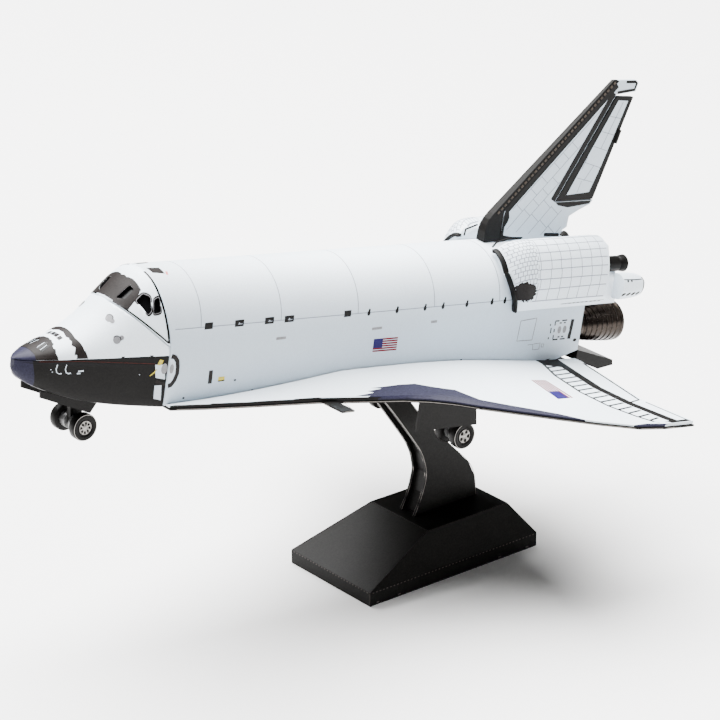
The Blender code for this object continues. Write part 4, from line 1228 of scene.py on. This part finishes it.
def printFin(side):
    fin, rudder, strip = nodes["fin"], nodes["rudder"], nodes["fin_leading_strip"]
    # The dark band beside the leading strip, the foot and the cap
    stroke("finBands", "blackPrint", fin, side, [(80.74, 20.97), (99.01, 38.68)], 0.78, 0.02, 3)
    stroke("finBands", "blackPrint", fin, side, [(80.46, 17.0), (80.62, 20.2), (80.84, 21.2)], 0.46, 0.022, 3)
    patch("finBands", "blackPrint", fin, side, [(80.6, 18.6), (81.3, 19.6), (81.5, 20.2), (81.3, 21.2), (80.7, 21.2)], 0.022, 3)
    patch("finBands", "blackPrint", fin, side, [(80.6, 16.97), (80.6, 17.7), (82.5, 17.35), (84.6, 17.25), (84.2, 16.95)],
          0.022, 3)
    for run in ([(98.9, 39.13), (102.45, 39.1), (102.78, 38.86), (102.48, 37.95), (99.2, 37.6)],):
        stroke("finBands", "blackPrint", fin, side, run, 0.40, 0.022, 3)
    stroke("finBands", "blackPrint", fin, side, [(98.57, 37.56), (89.47, 22.26)], 0.90, 0.02, 3)
    patch("finBands", "blackPrint", fin, side, [(89.35, 22.6), (90.05, 21.95), (97.1, 21.93), (96.8, 21.5), (92.6, 21.1),
                                                (90.6, 21.5)], 0.022, 3)
    # Tile lines: rows along the leading edge, joints across them
    (x0, z0), (x1, z1) = finPrint["stripInner"]
    along = Vector((x1 - x0, z1 - z0)).normalized()
    across = Vector((along.y, -along.x))
    rear = ((89.6, 22.4), (99.2, 37.3))
    length = math.hypot(x1 - x0, z1 - z0)
    depths = (1.3, 2.9, 4.5, 6.4, 8.3, 10.2)
    for r, depth in enumerate(depths):
        nearer = depths[r - 1] if r else 0.35
        s, c = 1.3 + 0.6 * r, 0
        while s < length - 1:
            gap = 2.9 - 1.9 * s / length
            a = Vector((x0, z0)) + along * s + across * nearer
            b = Vector((x0, z0)) + along * (s + 0.25) + across * depth
            c += 1
            if onFin(a) and onFin(b):
                stroke("finTileLines", "seamPrint", fin, side, [tuple(a), tuple(b)], finPrint["line"], 0.012, 3)
            s += gap * (1 + 0.25 * jitter(r * 13 + c))
        s = -3.0
        while s < length:
            a = Vector((x0, z0)) + along * s + across * depth
            b = Vector((x0, z0)) + along * (s + 0.5) + across * depth
            if onFin(a) and onFin(b):
                stroke("finTileLines", "seamPrint", fin, side, [tuple(a), tuple(b)], finPrint["line"], 0.012, 3)
            s += 0.5
    # The rudder: a pale panel of white print with painted shade, inside a dark frame, with its own tiles
    panel = [(99.65, 36.45), (101.55, 36.35), (98.0, 26.9), (96.35, 23.2), (92.05, 22.95)]
    patch("rudderPanel", "sideWhitePaintedShade", rudder, side, panel, 0.02, 3)
    for a, b in (((98.35, 34.2), (100.6, 33.8)), ((97.2, 32.0), (99.8, 31.4)), ((96.0, 29.9), (98.9, 29.1)),
                 ((94.7, 27.6), (97.9, 26.7)), ((93.5, 25.4), (96.9, 24.6)), ((100.6, 36.2), (97.5, 29.5)),
                 ((96.6, 27.1), (95.0, 24.9)), ((95.2, 28.4), (94.3, 26.6)), ((94.6, 24.9), (94.0, 23.2))):
        stroke("finTileLines", "seamPrint", rudder, side, [a, b], finPrint["line"], 0.032, 3)


def onFin(p):
    # Inside the fin's white field
    return inside(tuple(p), [(81.6, 21.2), (97.9, 37.1), (88.8, 22.4), (89.6, 21.4), (92.3, 20.6), (92.0, 18.6),
                             (91.2, 17.2), (84.5, 17.4), (81.2, 18.3), (81.7, 20.0)])


for side, sign in sides:
    printFin(side)
for side, sign in sides:
    wire("finFrontGap", "blackPrint", [(80.18, sign * 0.80, 16.95), (80.2, sign * 0.62, 20.0), (80.42, sign * 0.58, 21.27),
                                       (99.1, sign * 0.22, 39.3)], 0.11)
wire("rudderActuator", "blackPrint", [(100.1, -0.42, 30.2), (100.65, -0.42, 32.2)], 0.34, sides=6)
wire("finRearFoot", "blackPrint", [(88.6, -0.7, 17.35), (91.4, -0.7, 17.2)], 0.32, sides=6)
print("fin printed")


# Dots along a line, for perforated folds
def dotTree():
    tree = bpy.data.node_groups.new("perforations", "GeometryNodeTree")
    face = tree.interface
    face.new_socket("Geometry", in_out="INPUT", socket_type="NodeSocketGeometry")
    face.new_socket("Geometry", in_out="OUTPUT", socket_type="NodeSocketGeometry")
    face.new_socket("Spacing", in_out="INPUT", socket_type="NodeSocketFloat")
    face.new_socket("Dot size", in_out="INPUT", socket_type="NodeSocketVector")
    face.new_socket("Turn", in_out="INPUT", socket_type="NodeSocketVector")
    face.new_socket("Material", in_out="INPUT", socket_type="NodeSocketMaterial")
    make = tree.nodes.new
    source, target = make("NodeGroupInput"), make("NodeGroupOutput")
    path, even, spread = make("GeometryNodeMeshToCurve"), make("GeometryNodeResampleCurve"), make("GeometryNodeInstanceOnPoints")
    dot, real, dye = make("GeometryNodeMeshCube"), make("GeometryNodeRealizeInstances"), make("GeometryNodeSetMaterial")
    even.mode = "LENGTH"
    link = tree.links.new
    link(source.outputs["Geometry"], path.inputs["Mesh"])
    link(path.outputs["Curve"], even.inputs["Curve"])
    link(source.outputs["Spacing"], even.inputs["Length"])
    link(even.outputs["Curve"], spread.inputs["Points"])
    link(source.outputs["Dot size"], dot.inputs["Size"])
    link(dot.outputs["Mesh"], spread.inputs["Instance"])
    link(source.outputs["Turn"], spread.inputs["Rotation"])
    link(spread.outputs["Instances"], real.inputs["Geometry"])
    link(real.outputs["Geometry"], dye.inputs["Geometry"])
    link(source.outputs["Material"], dye.inputs["Material"])
    link(dye.outputs["Geometry"], target.inputs["Geometry"])
    return tree


perforations = dotTree()


def perforate(piece, look, runs, spacing, size, turn, place=shuttleFrame):
    # Sets a row of dots along each straight run
    mesh = bpy.data.meshes.new(piece)
    points = [place @ Vector(p) for run in runs for p in run]
    mesh.from_pydata(points, [(2 * k, 2 * k + 1) for k in range(len(runs))], [])
    item = bpy.data.objects.new(piece, mesh)
    bpy.context.scene.collection.objects.link(item)
    step = item.modifiers.new("dots", "NODES")
    step.node_group = perforations
    values = {"Spacing": spacing * mm, "Dot size": [s * mm for s in size], "Turn": turn, "Material": looks[look]}
    for socket in perforations.interface.items_tree:
        if socket.in_out == "INPUT" and socket.name in values:
            step[socket.identifier] = values[socket.name]
    settle(item)
    return item


def pitchTurn(rise=0.0):
    # The angles of something that lies along x on the shuttle, risen by some degrees
    return (0.0, math.radians(pose["pitch"] - rise), 0.0)


finRise = math.degrees(math.atan2(39.25 - 21.0, 97.9 - 78.65))
for side, sign in sides:
    perforate(side + "FinPerforations", "finDots", [((79.35, sign * 0.60, 21.0), (98.3, sign * 0.27, 38.95))], 0.74,
              (0.40, 0.30, 0.26), pitchTurn(finRise))
standShape = {"length": 30.7, "width": 17.58, "skirt": 2.07, "plateLength": 14.73, "plateWidth": 12.49,
              "plateHeight": 6.89, "plateShift": 4.48, "inset": 0.35}


def dressStand():
    shape = standShape
    front, rear, side = -shape["length"] / 2, shape["length"] / 2, shape["width"] / 2
    z = shape["skirt"]
    perforate("standSideDots", "darkEdge", [((front + 0.6, s * (side - 0.02), z - 0.12), (rear - 0.6, s * (side - 0.02), z - 0.12))
                                            for s in (-1, 1)], 0.62, (0.26, 0.10, 0.14), (0, 0, 0), standFrame)
    perforate("standEndDots", "darkEdge", [((x, -side + 0.6, z - 0.12), (x, side - 0.6, z - 0.12))
                                           for x in (front + 0.02, rear - 0.02)], 0.62, (0.10, 0.26, 0.14), (0, 0, 0), standFrame)
    for x in (front, rear):
        for s in (-1, 1):
            wire("standCorners", "darkEdge", [(x, s * side, 0.12), (x, s * side, z - 0.1)], 0.045, place=standFrame)
    tops = [(shape["plateShift"] + e * shape["plateLength"] / 2, s * shape["plateWidth"] / 2) for e, s in
            ((-1, -1), (1, -1), (1, 1), (-1, 1))]
    feet = [(front, -side), (rear, -side), (rear, side), (front, side)]
    for (x0, y0), (x1, y1) in zip(feet, tops):
        wire("standHips", "standBlack", [(x0, y0, z), (x1, y1, shape["plateHeight"])], 0.07, place=standFrame, sides=6)
    for (x0, y0), (x1, y1) in zip(tops, tops[1:] + tops[:1]):
        wire("standPlateEdges", "standBlack", [(x0, y0, shape["plateHeight"]), (x1, y1, shape["plateHeight"])], 0.06,
             place=standFrame, sides=6)
    for s in (-1, 1):
        outline = [(-1.4, 6.99), (0.0, 9.9), (0.74, 12.8), (0.3, 15.2), (-0.7, 17.4), (-3.7, 21.8), (-6.3, 25.4),
                   (-9.0, 28.6), (-12.2, 31.7)]
        for y in (1.25, 1.6):
            wire("standArmEdges", "bareEdge", [(x, s * y, h) for x, h in curved(outline, 40)], 0.05, place=standFrame)
        rearLine = [(-4.6, 30.3), (-3.0, 25.9), (0.8, 20.8), (5.7, 15.7), (8.6, 12.6), (9.7, 10.2), (10.0, 7.1)]
        wire("standArmEdges", "darkEdge", [(x, s * 1.6, h) for x, h in curved(rearLine, 40)], 0.045, place=standFrame)
    for x, y, w in ((front + 5.0, -side, 0.5), (8.2, -side, 0.5), (rear - 2.0, -side, 0.5), (front + 1.2, -side, 0.4)):
        wire("standTabs", "bareEdge", [(x, y - 0.0, 0.35), (x + w, y - 0.0, 0.35)], 0.09, place=standFrame)


dressStand()
print("stand dressed")


# The main engine bells
bellShape = {
    "engines": (("upper_main_engine", 101.0, 0.0, 10.7, 6.0), ("port_main_engine", 101.5, -3.9, 4.8, 2.0),
                ("starboard_main_engine", 101.5, 3.9, 4.8, 2.0)),
    "length": 7.8, "throat": 1.95, "exit": 2.93, "wall": 0.22, "ribs": 8, "ribHeight": 0.13, "steps": 72,
}


def bellRadius(t):
    return bellShape["throat"] + (bellShape["exit"] - bellShape["throat"]) * t ** 0.6


def makeBells():
    shape = bellShape
    length = shape["length"]
    for name, x, y, z, cant in shape["engines"]:
        outer = [(-length, 0.0), (-length, shape["throat"])]
        for t in evenly(0, 1, 120):
            phase = (t * shape["ribs"]) % 1.0
            rib = shape["ribHeight"] * max(0.0, 1 - abs(phase - 0.5) / 0.16)
            outer.append((-length * 0.9 * (1 - t), min(shape["exit"] + 0.02, bellRadius(t) + rib)))
        inner = [(-length * 0.9 * (1 - t), bellRadius(t) - shape["wall"]) for t in evenly(1, 0, 24)]
        bell = newPiece(name.replace("_", " ").title().replace(" ", "") + "Bell",
                        *latheX(outer + inner + [(-length * 0.9, 0.0)], shape["steps"], (x, y, z), -cant), "engineSteel",
                        angle=30)
        settle(bell, "orbiter", name)


makeBells()
print("bells done")


# Wheels: dark tyres, bright rims and pierced hubs
wheelShape = {
    "nose_wheels": ("nose_wheel_pair", (11.1, 0.0, -3.5), 1.83, 1.5, 2.8, 8),
    "port_main_wheels": ("port_wheel_pair", (70.9, -7.45, -8.2), 1.9, 0.85, 2.15, 5),
    "starboard_main_wheels": ("starboard_wheel_pair", (70.9, 7.45, -8.2), 1.9, 0.85, 2.15, 5),
}


def latheY(profile, steps, centre):
    # Turns a profile of (y, radius) about the y axis
    points, faces = latheX(profile, steps, (0, 0, 0))
    return [(centre[0] + v, centre[1] + u, centre[2] + w) for u, v, w in points], faces


def makeWheels():
    for node, (body, centre, radius, inner, outer, holes) in wheelShape.items():
        parts = []
        axle = 0.45
        for s in (-1, 1):
            def at(profile):
                return [(s * y, r) for y, r in profile]
            tyre = [(inner, 0.62 * radius), (inner, radius - 0.22), (inner + 0.06, radius - 0.07), (inner + 0.2, radius),
                    (outer - 0.25, radius), (outer - 0.1, radius - 0.05), (outer - 0.02, radius - 0.2),
                    (outer - 0.02, 0.72 * radius), (outer - 0.12, 0.62 * radius)]
            ring = at(tyre + [tyre[0]])
            shape = latheY(ring, 56, centre)
            tyrePiece = newPiece(node.replace("_", "") + "Tyre" + ("A" if s < 0 else "B"), *shape, "blackPrint")
            settle(tyrePiece, body, node)
            rim = at([(outer - 0.10, 0.955 * radius), (outer - 0.03, 0.955 * radius), (outer - 0.03, 0.925 * radius),
                      (outer - 0.10, 0.925 * radius), (outer - 0.10, 0.955 * radius)])
            hub = [(inner + 0.05, 0.0), (inner + 0.05, 0.63 * radius), (outer - 0.16, 0.63 * radius), (outer - 0.16, 0.0)]
            core = newPiece(node.replace("_", "") + "Core" + ("A" if s < 0 else "B"), *latheY(at(hub), 48, centre),
                            "blackPrint")
            settle(core, body, node)
            plate = at([(outer - 0.14, 0.0), (outer - 0.14, 0.50 * radius), (outer - 0.05, 0.50 * radius),
                        (outer - 0.05, 0.20 * radius), (outer + 0.0, 0.15 * radius), (outer + 0.0, 0.0)])
            disk = newPiece(node.replace("_", "") + "Hub" + ("A" if s < 0 else "B"), *latheY(plate, 64, centre), "shinySteel")
            drills, faces = [], []
            for k in range(holes):
                turn = 2 * math.pi * k / holes
                spot = (centre[0] + 0.335 * radius * math.cos(turn), centre[1], centre[2] + 0.335 * radius * math.sin(turn))
                size = 0.090 * radius if holes > 6 else 0.13 * radius
                points, rings = latheY(at([(outer - 0.4, 0.0), (outer - 0.4, size), (outer + 0.4, size), (outer + 0.4, 0.0)]),
                                       16, spot)
                faces += [tuple(i + len(drills) for i in f) for f in rings]
                drills += points
            drill = newPiece("hubDrill" + node + str(s), drills, faces, "blackPrint")
            carve(disk, drill)
            settle(disk, body, node)
            settle(newPiece(node.replace("_", "") + "Rim" + ("A" if s < 0 else "B"), *latheY(rim, 56, centre), "shinySteel"),
                   body, node)
            drum = at([(0.43, 0.0), (0.43, 0.62 * radius), (inner + 0.05, 0.62 * radius), (inner + 0.05, 0.0)])
            settle(newPiece(node.replace("_", "") + "Drum" + ("A" if s < 0 else "B"), *latheY(drum, 48, centre), "greyMetal"),
                   body, node)
        tube = [(-0.43, 0.0), (-0.43, axle), (0.43, axle), (0.43, 0.0)]
        settle(newPiece(node.replace("_", "") + "Axle", *latheY(tube, 32, centre), "darkEdge"), body, node)


makeWheels()
print("wheels done")


# Camera, floor and light

cameraSetup = {"lens": 159.99, "azimuth": -38.921, "elevation": 22.74, "place": (-264.079, -314.63, 202.191)}
lights = {
    # name: place, aimed at, size, watts
    "overhead": ((0.02, 0.17, 0.64), (0.0, 0.0, 0.03), 0.70, 46.0),
    "frontLeft": ((-0.60, -0.50, 0.45), (0.0, 0.0, 0.03), 0.45, 0.35),
    "right": ((0.55, -0.35, 0.30), (0.0, 0.0, 0.03), 0.40, 0.5),
}


def makeStage():
    x, y, z = cameraSetup["place"]
    camera = bpy.data.objects.new("camera", bpy.data.cameras.new("camera"))
    bpy.context.scene.collection.objects.link(camera)
    camera.data.lens = cameraSetup["lens"]
    camera.data.sensor_width = 36
    camera.data.clip_start = 0.01
    camera.location = (standX + x * mm, y * mm, z * mm)
    camera.rotation_euler = (math.radians(90 - cameraSetup["elevation"]), 0, math.radians(cameraSetup["azimuth"]))
    bpy.context.scene.camera = camera
    for name, (place, target, size, watts) in lights.items():
        lamp = bpy.data.objects.new(name, bpy.data.lights.new(name, "AREA"))
        bpy.context.scene.collection.objects.link(lamp)
        lamp.data.energy = watts
        lamp.data.size = size
        lamp.location = place
        lamp.rotation_euler = (Vector(target) - Vector(place)).to_track_quat("-Z", "Y").to_euler()
    mesh = bpy.data.meshes.new("floor")
    far = 3.0
    mesh.from_pydata([(-far, -far, 0), (far, -far, 0), (far, far, 0), (-far, far, 0)], [], [(0, 1, 2, 3)])
    floor = bpy.data.objects.new("floor", mesh)
    bpy.context.scene.collection.objects.link(floor)
    material = bpy.data.materials.new("paper")
    material.use_nodes = True
    shader = material.node_tree.nodes["Principled BSDF"]
    shader.inputs["Base Color"].default_value = (0.82, 0.815, 0.81, 1)
    shader.inputs["Roughness"].default_value = 0.8
    mesh.materials.append(material)
    world = bpy.data.worlds.new("studio")
    world.use_nodes = True
    world.node_tree.nodes["Background"].inputs["Color"].default_value = (1.0, 1.0, 1.0, 1)
    world.node_tree.nodes["Background"].inputs["Strength"].default_value = 0.10
    bpy.context.scene.world = world


makeStage()
pressInk()
for cutter in cutters:
    bpy.data.objects.remove(cutter, do_unlink=True)
print("stage done")
